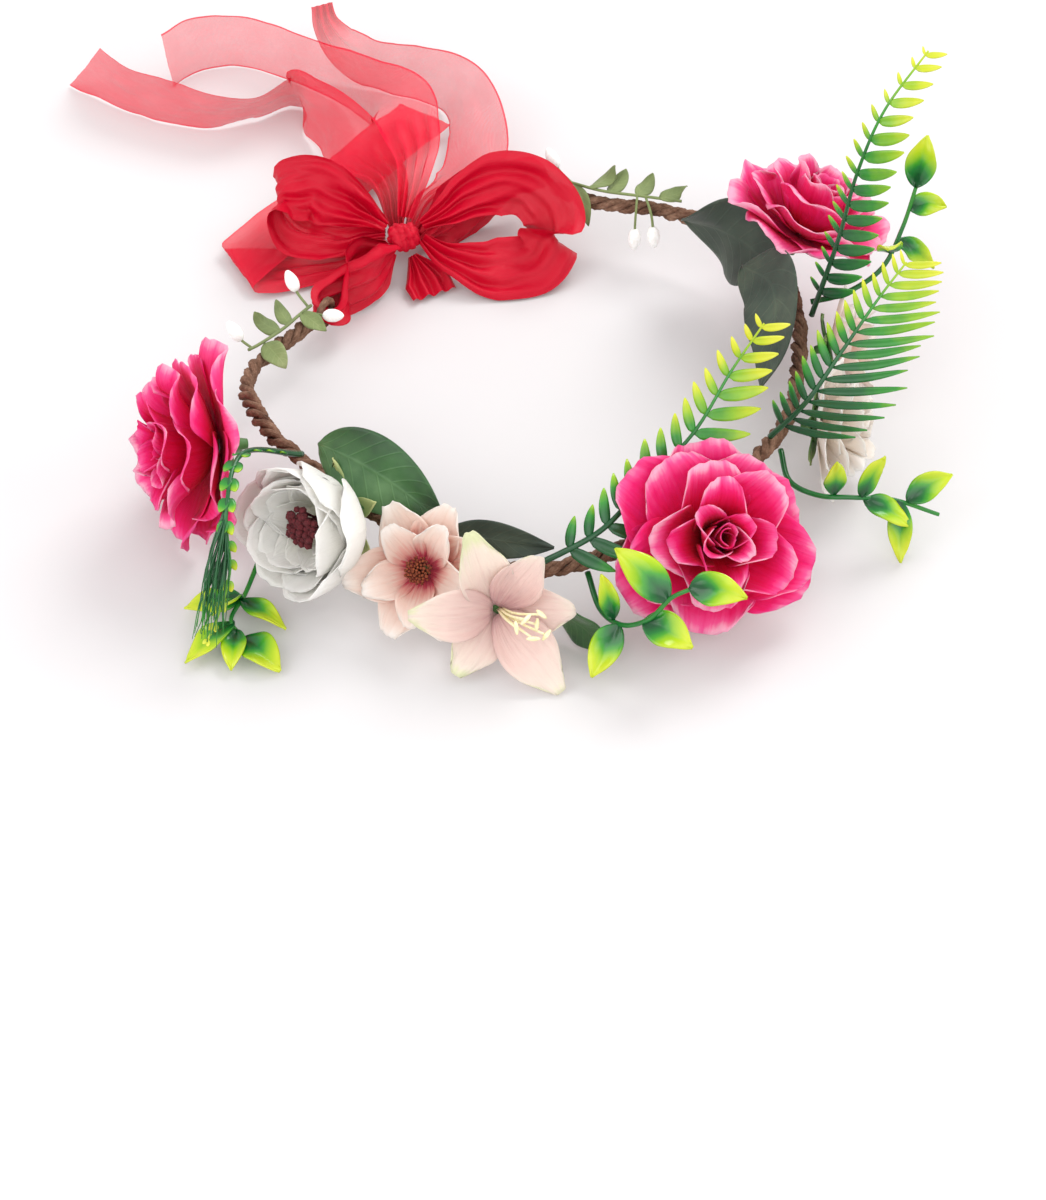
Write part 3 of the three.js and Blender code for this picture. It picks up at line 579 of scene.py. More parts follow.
def petalOf(shape, turn, put, rng):
    # one petal: a blade that starts at the flower's axis, leans out, cups and curls, with a frilled rim
    stretch = rng.uniform(0.9, 1.07)
    lean = shape["lean"] + rng.uniform(-5, 5)
    tip = shape["open"] + rng.uniform(-12, 12)
    phase, seed = rng.uniform(0, 6.28), rng.uniform(0, 90)
    shade = rng.uniform(-0.1, 0.1)
    skew = rng.uniform(-0.35, 0.35)
    steps, spine = 24, []
    r, z = shape["foot"]
    for i in range(steps + 1):
        s = i / steps
        angle = math.radians(lean + (tip - lean) * s**0.8 + shape["curl"] * smoothStep(0.62, 1, s))
        spine.append((r, z, angle))
        r += math.sin(angle) * shape["length"] * stretch / steps
        z += math.cos(angle) * shape["length"] * stretch / steps
    pointed, cup = shape.get("pointed", 0.0), shape["cup"]

    def outline(v):
        broad = math.sin(math.pi * (0.08 + 0.62 * v)) ** 0.8
        narrow = 0.18 + 0.82 * math.sin(math.pi * min(v, 0.97) ** 0.9) ** 0.9
        narrow *= 1 - smoothStep(0.9, 1, v) * 0.35
        return broad * (1 - pointed) + narrow * pointed

    def place(u, v):
        rounding = 0.3 * (1 - pointed) + 0.12 * pointed
        s = v * (1 - rounding * abs(u) ** 2.6 * v)
        s += 0.012 * v**3 * math.sin(17 * u + phase) * shape.get("frill", 1)
        s += 0.05 * v**3 * ripple(seed, 2.2 * u)
        s = min(max(s, 0), 1) * steps
        i = min(int(s), steps - 1)
        (r0, z0, a0), (r1, z1, a1) = spine[i], spine[i + 1]
        w = s - i
        r, z, angle = r0 + (r1 - r0) * w, z0 + (z1 - z0) * w, a0 + (a1 - a0) * w
        bend = cup * (1 + skew * u * 0.5)
        phi = u * shape["width"] / 2 * outline(v) / bend
        across, lift = bend * math.sin(phi), bend * (1 - math.cos(phi))
        frill = shape["ruffle"] * v**2.2 * (0.35 + 0.65 * abs(u)) * math.sin(4.4 * u + phase)
        lift += frill + shape["ruffle"] * 0.9 * v * ripple(seed + 5, 1.7 * u, 2.1 * v)
        lift += 0.35 * math.sin(9 * u + phase) * v * (1 - v)  # faint pleats from the foot
        r, z = r - lift * math.cos(angle), z + lift * math.sin(angle)
        x = r * math.cos(turn) - across * math.sin(turn)
        y = r * math.sin(turn) + across * math.cos(turn)
        return put(Vector((x, y, z)))

    low, high = shape["tone"]

    def tone(u, v):
        rim = smoothStep(0.78, 1, max(abs(u) * (0.5 + 0.5 * v), v)) * shape.get("rim", 0.25)
        rim *= 0.6 + 0.8 * ripple(seed, 3 * u, 3 * v)
        return low + (high - low) * v ** shape.get("fade", 1.1) + rim + shade * v

    return clothGrid(shape.get("across", 14), shape.get("along", 14), place, tone)


def facer(at, facing, scale=1.0):
    # puts a point of a flower drawn upright at the origin onto the crown
    turn = Vector((0, 0, 1)).rotation_difference(Vector(facing).normalized())
    return lambda spot: Vector(at) + turn @ (spot * scale)


def petalPiece(name, shapes, put, seed, material, slot, nodes):
    rng = random.Random(seed)
    petals = []
    for shape in shapes:
        start = rng.uniform(0, 6.28) if "turn" not in shape else shape["turn"]
        for k in range(shape["count"]):
            jitter = rng.uniform(-0.2, 0.2)
            petals.append(petalOf(shape, start + 2 * math.pi * k / shape["count"] + jitter, put, rng))
    piece = thicken(joinAll(name, petals), thickness=0.35)
    return dress(piece, material, slot, nodes)


def calyxPiece(name, put, radius, length, nodes, pale=False):
    # a moulded cup with a stub of stem, and five sepals that hold the petals from behind
    stub = Route([list(put(Vector((0, 0, z)))) for z in (-length, -length * 0.5, -0.3)])
    widths = ((0, 0.24), (0.3, 0.3), (0.7, 0.62), (1, 1.0))
    parts = [tubeAlong(stub, lambda t: radius * float(np.interp(t, *zip(*widths))) * 0.8, 8, 14,
                       tone=lambda t: 0.35)]
    rng = random.Random(len(name))
    for k in range(5):
        sepal = {
            "lean": 100, "open": 74, "curl": -10, "foot": (1.2, -1.4), "cup": radius, "ruffle": 0.5,
            "length": radius * (2.3 if pale else 1.5), "width": radius * 0.95, "pointed": 1,
            "tone": (0.3, 1.0 if pale else 0.55), "rim": 0.1, "across": 6, "along": 8,
        }
        parts.append(thicken(petalOf(sepal, 2 * math.pi * k / 5, put, rng), thickness=0.5))
    return dress(joinAll(name, parts), sepalPlastic, "calyx", nodes)


goldenAngle = 2.399963  # each thread turned by this from the last, which spreads them evenly


def stamenPiece(name, put, values, seed, material, slot, nodes):
    # threads out of the middle, each with its anther: a bead, or a bar across the end
    rng = random.Random(seed)
    parts = []
    for k in range(values["count"]):
        angle = goldenAngle * k
        reach = values["spread"] * math.sqrt((k + 0.5) / values["count"])
        lean = Vector((values.get("lean", 0), 0, 0))
        domed = 1 - values.get("dome", 0) * (reach / values["spread"]) ** 2
        height = values["length"] * rng.uniform(0.86, 1.04) * domed
        top = Vector((reach * math.cos(angle), reach * math.sin(angle), values["base"] + height)) + lean
        middle = Vector((top.x * 0.4, top.y * 0.4, values["base"] + height * 0.55))
        foot = Vector((top.x * 0.15, top.y * 0.15, values["base"]))
        route = Route([list(put(p)) for p in (foot, middle, top)], 40)
        thread = values["thread"]
        parts.append(tubeAlong(route, lambda t: thread * (1 - 0.25 * t), 5, 5))
        if values.get("bar"):
            across = Vector((-math.sin(angle), math.cos(angle), 0.15))
            bar = Route([list(put(top + across * x)) for x in (-values["bar"], 0, values["bar"])], 30)
            parts.append(tubeAlong(bar, lambda t: thread * 1.5 * math.sin(math.pi * (0.12 + 0.76 * t)), 6, 6))
        else:
            size = values["bead"] * rng.uniform(0.8, 1.15)
            bpy.ops.mesh.primitive_ico_sphere_add(subdivisions=1, radius=size * mm, location=put(top) * mm)
            bead = bpy.context.object
            activate(bead)
            bpy.ops.object.transform_apply(location=True, rotation=False, scale=False)
            bead.data.attributes.new("tone", "FLOAT", "POINT")
            parts.append(bead)
    return dress(joinAll(name, parts), material, slot, nodes)


roseShape = {
    "outer": [
        dict(count=6, length=34, width=37, lean=88, open=76, curl=24, foot=(2.5, 0.8), cup=60,
         ruffle=2.9, tone=(0.34, 0.7), rim=0.34),
        dict(count=5, length=33, width=34, lean=80, open=58, curl=34, foot=(2.2, 2.0), cup=36,
         ruffle=2.6, tone=(0.26, 0.72), rim=0.34),
    ],
    "inner": [
        dict(count=5, length=31, width=29, lean=66, open=32, curl=62, foot=(2, 3), cup=17,
         ruffle=2.2, tone=(0.16, 0.72), rim=0.36),
        dict(count=4, length=28, width=24, lean=46, open=20, curl=58, foot=(1.6, 4), cup=9,
         ruffle=1.6, tone=(0.06, 0.68), rim=0.4),
    ],
    "heart": [
        dict(count=4, length=24, width=20, lean=26, open=8, curl=44, foot=(2.4, 4), cup=5.2,
         ruffle=1.1, tone=(0.0, 0.6), rim=0.4),
        dict(count=3, length=20, width=15, lean=12, open=-2, curl=26, foot=(1.4, 4), cup=3.0,
         ruffle=0.6, tone=(0.0, 0.5), rim=0.36),
    ],
}
roses = {
    "rose_left": {"at": (-97, -54, 34.5), "facing": (-0.93, -0.3, 0.18), "scale": 1.0, "seed": 11},
    "rose_right": {"at": (64, -91, 26.5), "facing": (0.22, -0.64, 0.72), "scale": 0.95, "seed": 23},
    "rose_back": {"at": (103, 54, 37), "facing": (0.4, 0.2, 0.9), "scale": 0.88, "seed": 37,
                  "upright": 18, "paler": 0.1},
}
partNodes = {"outer": "_outer_petals", "inner": "_inner_petals", "heart": "_heart", "all": "_petals"}


def flowerPieces(name, put, seed, rings, petal, slots, calyx, stamens=None, tips=None):
    # a whole flower: its petals, in a piece for each part that is named, its stamens and its calyx
    for k, (part, shapes) in enumerate(rings.items()):
        slot = slots.get(part, slots["all"])
        petalPiece(name + "_petals_" + part, shapes, put, seed + k, petal, slot, [name + partNodes[part]])
    if stamens:
        stamenPiece(name + "_threads", put, stamens, seed + len(rings), *tips, [name + "_stamens"])
    calyxPiece(name + "_cup", put, *calyx, [name + "_calyx"], pale=name == "ranunculus")


def opened(shape, upright, paler):
    low, high = shape["tone"]
    return {**shape, "open": shape["open"] - upright, "tone": (low + paler, high + paler)}


for name, rose in roses.items():
    rings = {part: [opened(shape, rose.get("upright", 0), rose.get("paler", 0)) for shape in shapes]
             for part, shapes in roseShape.items()}
    flowerPieces(name, facer(rose["at"], rose["facing"], rose["scale"]), rose["seed"], rings, pinkPetal,
                 {"all": "rose_petal", "heart": "rose_heart"}, (9, 9))
print("roses made")

ranunculusShape = {
    "outer": [
        dict(count=6, length=38, width=38, lean=98, open=-14, curl=16, foot=(1.5, 0.6), cup=21,
         ruffle=2.0, tone=(0.3, 0.9), rim=0.1),
        dict(count=6, length=34, width=34, lean=86, open=-12, curl=16, foot=(1.5, 1.6), cup=17,
         ruffle=1.9, tone=(0.3, 0.9), rim=0.1),
        dict(count=6, length=30, width=28, lean=78, open=-6, curl=16, foot=(1.5, 2.6), cup=14,
         ruffle=1.7, tone=(0.25, 0.85), rim=0.1),
    ],
    "inner": [
        dict(count=5, length=24, width=22, lean=68, open=6, curl=12, foot=(1.4, 3.2), cup=11,
         ruffle=1.0, tone=(0.05, 0.7), rim=0.1),
        dict(count=5, length=19, width=16, lean=64, open=16, curl=8, foot=(1.4, 3.6), cup=8,
         ruffle=0.8, tone=(0.0, 0.65), rim=0.1),
    ],
}
ranunculusStamens = dict(count=40, length=15, spread=6.6, base=3.8, thread=0.35, bead=1.5)
flowerPieces("ranunculus", facer((-57, -78, 25), (-0.66, -0.66, 0.36)), 51, ranunculusShape, ivoryPetal,
             {"all": "ivory_petal"}, (8, 6), ranunculusStamens, (burgundyTip, "burgundy_stamen"))

magnoliaShape = {"all": [
    dict(count=6, length=25, width=20, lean=82, open=64, curl=12, foot=(1.5, 0.6), cup=15,
     ruffle=1.3, tone=(0.02, 0.86), pointed=0.5, fade=0.85),
    dict(count=5, length=19, width=15, lean=66, open=44, curl=40, foot=(1.8, 1.4), cup=10,
     ruffle=1.7, tone=(0.02, 0.84), pointed=0.3, fade=0.85),
]}
magnoliaStamens = dict(count=60, length=7.5, spread=4.6, base=1.6, thread=0.22, bead=0.6, dome=0.3)
flowerPieces("magnolia", facer((-28, -101, 23), (-0.3, -0.65, 0.62)), 61, magnoliaShape, peachPetal,
             {"all": "peach_petal"}, (7, 6), magnoliaStamens, (rustTip, "rust_stamen"))

lilyShape = {"all": [
    dict(count=1, turn=math.radians(angle), length=length, width=width, lean=56, open=tip, curl=6,
     foot=(1.4, 0.6 + 2.0 * (k % 2)), cup=cup, ruffle=0.8, tone=tone, pointed=0.55, rim=0.3, frill=0.4)
    for k, (angle, length, width, tip, cup, tone) in enumerate((
        (118, 33, 20, 60, 13, (0.42, 0.98)), (192, 33, 19, 82, 15, (0.16, 0.72)),
        (246, 26, 18, 84, 20, (0.2, 0.78)), (302, 31, 21, 78, 16, (0.14, 0.74)),
        (12, 29, 19, 72, 14, (0.12, 0.7)), (64, 27, 18, 58, 12, (0.1, 0.66)),
    ))
]}
lilyStamens = dict(count=6, length=22, spread=6, base=1.8, lean=9, thread=0.55, bar=2.2)
flowerPieces("lily", facer((-5, -111, 15.5), (0.12, -0.78, 0.5)), 71, lilyShape, blushPetal,
             {"all": "blush_petal"}, (7, 6), lilyStamens, (creamTip, "cream_stamen"))

creamRoseShape = {
    "outer": [
        dict(count=6, length=23, width=22, lean=88, open=56, curl=20, foot=(2, 0.7), cup=26,
         ruffle=1.4, tone=(0.25, 0.85)),
        dict(count=5, length=21, width=20, lean=70, open=30, curl=26, foot=(1.8, 1.6), cup=15,
         ruffle=1.2, tone=(0.2, 0.8)),
    ],
    "heart": [
        dict(count=5, length=18, width=17, lean=48, open=10, curl=18, foot=(1.6, 2.4), cup=9,
         ruffle=0.8, tone=(0.1, 0.7)),
        dict(count=4, length=16, width=13, lean=20, open=-6, curl=12, foot=(1.2, 2.6), cup=5,
         ruffle=0.5, tone=(0.05, 0.6)),
    ],
}
flowerPieces("cream_rose", facer((105, -31, 22), (0.93, -0.25, 0.2)), 81, creamRoseShape, creamPetal,
             {"all": "cream_petal"}, (8, 6))

paleMagnoliaShape = {"all": [
    dict(count=6, length=23, width=15, lean=78, open=48, curl=18, foot=(1.5, 0.6), cup=13,
     ruffle=1.0, tone=(0.42, 0.95), pointed=0.7),
    dict(count=5, length=18, width=12, lean=50, open=14, curl=20, foot=(1.5, 1.4), cup=8,
     ruffle=0.9, tone=(0.4, 0.9), pointed=0.6),
]}
flowerPieces("pale_magnolia", facer((112, 8, 24), (0.95, 0.02, 0.25)), 91, paleMagnoliaShape, peachPetal,
             {"all": "peach_petal"}, (7, 6))
print("small flowers made")

# cloth leaves


def bladeOn(route, width, across, along, outline, fold=0.15, wave=0.0, seed=1, tone=lambda u, v: v):
    # a blade on a route: folded along its midrib, its edges waved
    def place(u, v):
        point, ahead, side, face = route.at(round(v, 5))
        half = width / 2 * outline(v)
        lift = fold * abs(u) ** 1.4 * half + wave * u * u * math.sin(9 * v + 2.4 * seed + 1.5 * (u > 0))
        return point + side * u * half + face * (lift + wave * 0.6 * ripple(seed, 2 * u, 4 * v))

    return clothGrid(across, along, place, tone)


def leafOutline(v):
    return max(0.03, math.sin(math.pi * min(v, 0.995) ** 0.78) ** 0.86)


clothLeaves = {
    "leaf_back_upper": (34, dullLeaf, "leaf_underside", [
        [62, 70, 31, .3, -.6, .6], [78, 60, 33, .5, -.5, .7], [90, 44, 33, .7, -.4, .5],
        [95, 29, 31, .8, -.3, .4]]),
    "leaf_back_lower": (26, dullLeaf, "leaf_underside", [
        [82, 40, 34, .9, .1, .8], [91, 22, 40, .8, .1, .9], [91, 2, 34, .7, .2, .8],
        [86, -14, 24, .7, .3, .6]]),
    "leaf_satin": (25, satinLeaf, "leaf_satin", [
        [-64, -60, 41, .5, .5, .7], [-51, -68, 40.5, .4, .5, .8], [-36, -78, 37, .3, .5, .8],
        [-21, -87, 29, .3, .5, .8]]),
    "leaf_front": (13, dullLeaf, "leaf_satin", [[-23, -87, 25, 0, .5, .8], [-6, -90, 26, 0, .5, .8],
        [14, -93, 25, 0, .5, .8]]),
    "leaf_under_lily": (14, satinLeaf, "leaf_satin", [
        [14, -107, 12, .6, -.4, .6], [24, -113, 8, .6, -.4, .5], [33, -121, 3, .6, -.4, .4]]),
}
for k, (name, (width, material, slot, rows)) in enumerate(clothLeaves.items()):
    blade = thicken(bladeOn(Route(rows), width, 18, 34, leafOutline, fold=0.18, wave=0.9, seed=k),
                    thickness=0.45)
    dress(joinAll(name + "_cloth", [blade]), material, slot, [name])
print("cloth leaves made")

# ferns


def leafletReach(t):
    return 0.35 + 0.65 * math.sin(math.pi * min(1, 0.25 + 0.72 * t))


def fernPiece(name, body, node, rows, pairs, right, left, slender=0.17, lime=0.0, closed=0.0, needles=0):
    # a tapered rib with a row of leaflets down each side, lime at their tips and all over near its end
    route = Route(rows)
    parts = [tubeAlong(route, lambda t: 1.1 - 0.75 * t, 70, 8, tone=lambda t: 0.1 + 0.65 * t**2.2)]
    pitch = route.length * 0.88 / pairs
    rng = random.Random(pairs)
    for reachOf, way in ((right, -1), (left, 1)):
        for i in range(pairs + 1):
            t = min(0.09 + 0.9 * (i + 0.15) / pairs, 0.985)
            point, ahead, side, face = route.at(round(t, 5))
            reach = reachOf * leafletReach(i / pairs) * rng.uniform(0.93, 1.06)
            out = (side * way * (0.86 - closed * 0.4) + ahead * (0.5 + closed * 0.3)).normalized()
            droop = rng.uniform(-0.08, 0.08)
            curve = [point + out * reach * s + ahead * reach * 0.16 * s * s + face * reach * droop * s * s
                     for s in (0.02, 0.5, 1)]
            leaflet = Route([[*p, *(ahead - out * 0.3)] for p in curve], 40)
            start = 0.02 + 0.72 * t**1.5 + lime
            parts.append(bladeOn(
                leaflet, min(2 * slender * reach, pitch * (0.7 + closed * 0.4)), 4, 9,
                lambda v: 0.16 + 0.84 * math.sin(math.pi * min(v, 0.99) ** 0.8) ** 0.6 - 0.16 * v,
                fold=0.22, seed=i, tone=lambda u, v, start=start, way=way: (
                    start + (0.4 + 0.16 * (way > 0)) * v**1.3 * (1 - 0.4 * t)),
            ))
            thicken(parts[-1], thickness=0.5)
    for i in range(needles):  # fine soft needles that hang beside the end of the rib
        start, ahead, side, face = route.at(round(rng.uniform(0.52, 0.72), 5))
        end, _, outside, front = route.at(round(rng.uniform(0.9, 1), 5))
        end = end + outside * rng.uniform(-4.5, 4.5) + front * rng.uniform(0.5, 5)
        middle = (start + end) / 2 + outside * rng.uniform(-2.5, 2.5) + front * rng.uniform(1, 4)
        needle = Route([list(start), list(middle), list(end)], 30)
        parts.append(tubeAlong(needle, lambda t: 0.42 - 0.3 * t, 8, 5, tone=lambda t: 0.12 + 0.3 * t))
    piece = joinAll(name, parts)
    return dress(piece, fernPlastic, "fern_plastic", [node], body)


fernPiece("fern_front_frond", "front_fern", "fern_front", [
    [9, -101, 25.6, -.7, .4, .1], [29, -96, 36, -.8, .1, .3], [42, -82, 41, -.8, .1, .4],
    [60, -65, 51, -.8, .1, .4], [72, -52, 66, -.8, .1, .3], [82, -47, 82, -.8, .1, .3]],
    pairs=14, right=20, left=12, lime=0.06)
fernPiece("fern_right_frond", "right_fern", "fern_right", [
    [87, -46, 31, -.6, .3, .7], [98, -49, 50, -.7, .3, .6], [109, -42, 66, -.7, .2, .6],
    [121, -33, 82, -.7, .2, .6], [129, -28, 92, -.7, .2, .6]],
    pairs=15, right=27, left=12, slender=0.12)
fernPiece("fern_back_frond", "back_fern", "fern_back", [
    [105.5, 19, 29, -.6, .5, .1], [112, 16, 66, -.6, .5, .1], [116, 13, 98, -.6, .5, .1],
    [123, 16, 120, -.6, .5, .1], [137, 27, 136, -.6, .5, .2]],
    pairs=15, right=16, left=7, lime=0.05)
fernPiece("fern_left_frond", "left_fern", "fern_left", [
    [-70, -56, 32.5, .8, -.5, .2], [-87.8, -80, 54, .8, .1, 0], [-91, -102, 49, .9, 0, .2],
    [-91, -108, 28, .9, 0, .2],
    [-96, -118, 15, .9, 0, .2],
    [-99, -122, 10, .9, 0, .2]],
    pairs=13, right=4.8, left=4.8, slender=0.42, lime=0.02, closed=1.0, needles=34)
print("ferns made")

# plastic leaf sprigs


def ovalOutline(v):
    return max(0.04, math.sin(math.pi * min(v, 0.995) ** 0.78) ** 0.72)


def sprayed(u, v):
    return 0.1 + 0.88 * smoothStep(0.08, 0.95, v + 0.2 * abs(u)) - 0.25 * (1 - abs(u)) * (1 - v)


def sprigPiece(name, body, node, stems, leaves):
    # a stem with pointed oval leaves, green where they leave it and sprayed lime towards their tips
    parts = [
        tubeAlong(Route(points), lambda t: 1.05 - 0.35 * t, 14 * len(points), 9, tone=lambda t: 0.12 + 0.2 * t)
        for points in stems
    ]
    for k, (foot, tip, side, width) in enumerate(leaves):
        foot, tip = Vector(foot), Vector(tip)
        middle = (foot + tip) / 2 + Vector((0, 0, 1.8))
        route = Route([[*foot, *side], [*middle, *side], [*tip, *side]], 80)
        blade = bladeOn(route, width * 0.84, 12, 18, leafOutline, fold=0.16, wave=0.7, seed=k + len(name),
                        tone=sprayed)
        parts.append(thicken(blade, thickness=0.6))
    return dress(joinAll(name, parts), sprigPlastic, "sprig_plastic", [node], body)


sprigPiece("sprig_left_branch", "left_sprig", "sprig_left", [
    [[-72, -57, 22], [-81, -72, 11], [-88, -94, 5.5], [-92, -108, 6], [-88, -114, 5]]], [
    [[-89, -97, 5.8], [-108, -101, 5], [.1, .9, .3], 11], [[-89, -97, 5.8], [-98, -109, 10], [.8, .2, .2], 8],
    [[-89.5, -98, 5.8], [-74, -109, 3.5], [.2, .9, .1], 9], [[-91, -108, 6], [-106, -124, 3],
    [.7, -.5, .1], 11],
    [[-90, -112, 6], [-91, -127, 3], [.9, .1, .1], 10], [[-88, -114, 5], [-75, -127, 2.5], [.6, .7, .1], 14],
])
sprigPiece("sprig_front_branch", "front_sprig", "sprig_front", [
    [[25, -97, 17.8], [29, -110, 14], [36, -122, 19], [44, -127, 27], [51, -128, 38], [57, -129, 43]]], [
    [[33, -118, 17], [29, -113, 33], [.9, .1, .2], 8], [[50, -128, 36], [33, -116, 48], [.6, .5, .5], 14],
    [[56, -129, 43], [74, -135, 45], [.1, .6, .7], 13], [[35, -121, 18], [26, -132, 5], [.8, -.3, .1], 13],
    [[42, -126, 25], [58, -133, 20], [.2, .7, .5], 14],
])
sprigPiece("sprig_right_branch", "right_sprig", "sprig_right", [
    [[91.5, -41, 20.3], [94, -54, 18], [103, -63, 20], [114, -65, 21], [128, -63, 18], [144, -64, 12]]], [
    [[108, -64, 21], [108, -65, 37], [.9, .1, .1], 9], [[117, -65, 21], [124, -62, 37], [.8, .1, .2], 8],
    [[118, -65, 20], [134, -70, 12], [.2, .8, .4], 10], [[133, -63, 17], [148, -57, 24], [.1, .7, .7], 11],
    [[130, -63, 18], [131, -76, 1], [.9, 0, .2], 10],
])
sprigPiece("sprig_back_branch", "back_sprig", "sprig_back", [
    [[105.5, 25, 30], [117, 27, 32], [130, 31, 40], [137, 38, 53], [141, 44, 66]]], [
    [[141, 44, 66], [144, 50, 84], [.9, -.2, .1], 13], [[139, 41, 59], [152, 41, 60], [.1, .7, .7], 10],
    [[133, 34, 45], [131, 26, 53], [.9, 0, .2], 11], [[135, 36, 49], [149, 34, 38], [.7, 0, -.3], 9],
])
print("sprigs made")

# sage leaves and foam buds on the two bare ends


def archedMiddle(foot, tip):
    return Vector((0.3 * foot[0] + 0.7 * tip[0], 0.3 * foot[1] + 0.7 * tip[1], (2 * foot[2] + tip[2]) / 3))


def budRadius(t):
    return 0.2 + 2.2 * math.sin(math.pi * min(0.04 + 0.95 * t**0.85, 0.99)) ** 0.62


def garlandPiece(name, body, node, wire, leaves, buds):
    # leaves and buds on a thin wire that lies along the vine, each bud an egg on its own stalk
    stems = [tubeAlong(Route(wire), lambda t: 0.6, 40, 6)]
    blades, lobes = [], []
    for k, (foot, tip, side, width) in enumerate(leaves):
        middle = archedMiddle(foot, tip)
        route = Route([[*foot, *side], [*middle, *side], [*tip, *side]], 60)
        blade = bladeOn(route, width * 1.05, 8, 12, ovalOutline, fold=0.2, wave=0.5, seed=k)
        blades.append(thicken(blade, thickness=0.35))
    for foot, tip in buds:
        middle = archedMiddle(foot, tip)
        stems.append(tubeAlong(Route([foot, list(middle), tip], 40), lambda t: 0.5, 8, 6))
        lean = (Vector(tip) - middle).normalized()
        core = Route([list(Vector(tip) - lean * 3.6), list(Vector(tip)), list(Vector(tip) + lean * 4.6)], 40)
        lobes.append(tubeAlong(core, budRadius, 16, 14))
    dress(joinAll(name + "_leaves", stems + blades), sageLeaf, "sage_leaf", [node], body)
    dress(joinAll(name + "_buds", lobes), foamBud, "sage_leaf", [], body)


garlandPiece("left_garland", "left_vine_end", "left_garland", [
    [-92, 4, 26], [-89, 9, 24], [-81, 20, 22], [-76, 29, 20.5], [-72, 35, 20]], [
    [[-82, 18, 22], [-91, 22, 28], [.6, .5, 0], 6], [[-87, 11, 23], [-79, 0, 21], [.7, .4, .3], 8],
    [[-79, 23, 21], [-84, 31, 26], [.7, .3, 0], 5], [[-75, 30, 20.5], [-66, 20, 21], [.4, .7, .3], 6],
], [[[-91, 6, 25], [-97, 11, 28]], [[-73, 34, 20], [-79, 43, 24]], [[-74, 31, 20.5], [-64, 27, 22]]])
garlandPiece("right_garland", "right_vine_end", "right_garland", [
    [62, 83, 29], [48, 88.5, 27], [33, 93, 26], [21, 99.5, 25]], [
    [[54, 86, 28], [64, 87, 33], [.2, .8, .3], 6], [[46, 89, 27], [52, 97, 31], [.7, -.4, 0], 6],
    [[36, 92, 26], [42, 101, 30], [.7, -.4, .2], 7], [[28, 95.5, 25.5], [38, 99, 33], [.5, -.5, .3], 7],
    [[23, 98, 25.2], [28, 86, 15], [.9, .1, 0], 5],
], [[[49, 88.1, 27.1], [52, 79, 16]], [[46, 89, 26.8], [45, 79, 15]], [[22, 99, 25], [15, 108, 29]]])
print("garlands made")

# the organza ribbons

# knotLayers also darkens the knot's organza colour, which paints shade on it
ribbonCut = {
    "width": 25, "knot": (-40, 80, 15), "knotRadius": 5.8, "knotLayers": 7, "knotShare": 0.2,
    "pleats": 3.5, "acrossCells": 34, "cell": 1.4,
}


def fromKnotTo(dx, dy, dz):
    x, y, z = ribbonCut["knot"]
    return [x + dx, y + dy, z + dz]


def spread(t, reach=0.25):
    return ribbonCut["knotShare"] + (1 - ribbonCut["knotShare"]) * min(1, t / reach)


def foldOver(point, corner, crease, radius):
    # turns flat cloth over along a crease through the corner, round a bend of this radius
    outward = Vector((-crease.y, crease.x, 0))
    beyond = (point - corner).dot(outward)
    quarter = radius * math.pi / 2
    turn = min(max(beyond / radius + math.pi / 2, 0), math.pi)
    reach = radius * math.sin(turn)
    if abs(beyond) > quarter:
        reach = quarter + beyond if beyond < 0 else quarter - beyond
    return point + outward * (reach - beyond) + Vector((0, 0, radius * (1 - math.cos(turn))))


def ribbonPiece(name, node, rows, width=spread, layers=1.0, crumple=1.0, seed=1, body="root", slant=0.0,
                fold=lambda point: point):
    # the whole 25 mm of cloth everywhere: where it is gathered it stands in pleats, and where it is free
    # it ripples
    route = Route(rows, 500)
    cells = max(12, round(route.length / ribbonCut["cell"]))

    def place(u, v):
        v *= 1 - slant * (1 + u) / 2
        point, ahead, side, face = route.at(round(v, 5))
        share = min(width(v), 1)
        half = ribbonCut["width"] / 2 * share
        pleat = half / ribbonCut["pleats"] * 0.75 * math.sqrt(max(1 / share - 1, 0))
        lift = pleat * math.sin(math.pi * ribbonCut["pleats"] * u + 2 * seed + 1.5 * v)
        along = route.length * v
        lift += crumple * (1.1 * ripple(seed, 1.6 * u, along / 22) + 0.55 * ripple(seed + 9, 4 * u, along / 9))
        lift += crumple * 0.3 * abs(ripple(seed + 17, 7 * u, along / 5))
        drift = 0.6 * crumple * ripple(seed + 4, route.length * v / 12)
        return fold(point + side * (u * half + drift) + face * lift)

    def tone(u, v):
        share = min(width(v), 1)
        return layers / share ** 0.9

    piece = joinAll(name, [clothGrid(ribbonCut["acrossCells"], cells, place, tone)])
    dress(piece, organza, "organza", [node], body)
    return piece


def knotPiece():
    # the knot: a sphere primitive drawn into the folds of the cloth that is wrapped round the bow's waist
    middle = Vector(ribbonCut["knot"]) * mm
    bpy.ops.mesh.primitive_uv_sphere_add(segments=72, ring_count=48, radius=ribbonCut["knotRadius"] * mm,
                                         location=middle)
    knot = bpy.context.object
    activate(knot)
    bpy.ops.object.transform_apply(location=True)
    layers = knot.data.attributes.new("tone", "FLOAT", "POINT")
    for i, vertex in enumerate(knot.data.vertices):
        reach = (vertex.co - middle) / mm
        turn = math.atan2(reach.z, reach.y)
        across = reach.x + 0.35 * reach.y + 0.8 * math.sin(turn)
        fold = 1 + 0.11 * abs(math.sin(across * 1.15)) ** 0.6 * 1.6 - 0.1 + 0.34 * ripple(8, *(reach * 0.2))
        fold += 0.1 * ripple(18, *(reach * 0.55))
        vertex.co = middle + Vector((reach.x, reach.y * 0.95, reach.z * 0.95)) * fold * mm
        layers.data[i].value = ribbonCut["knotLayers"]
    return dress(joinAll("knot_wrap", [knot]), organza, "organza", ["ribbon_knot"])


knotPiece()


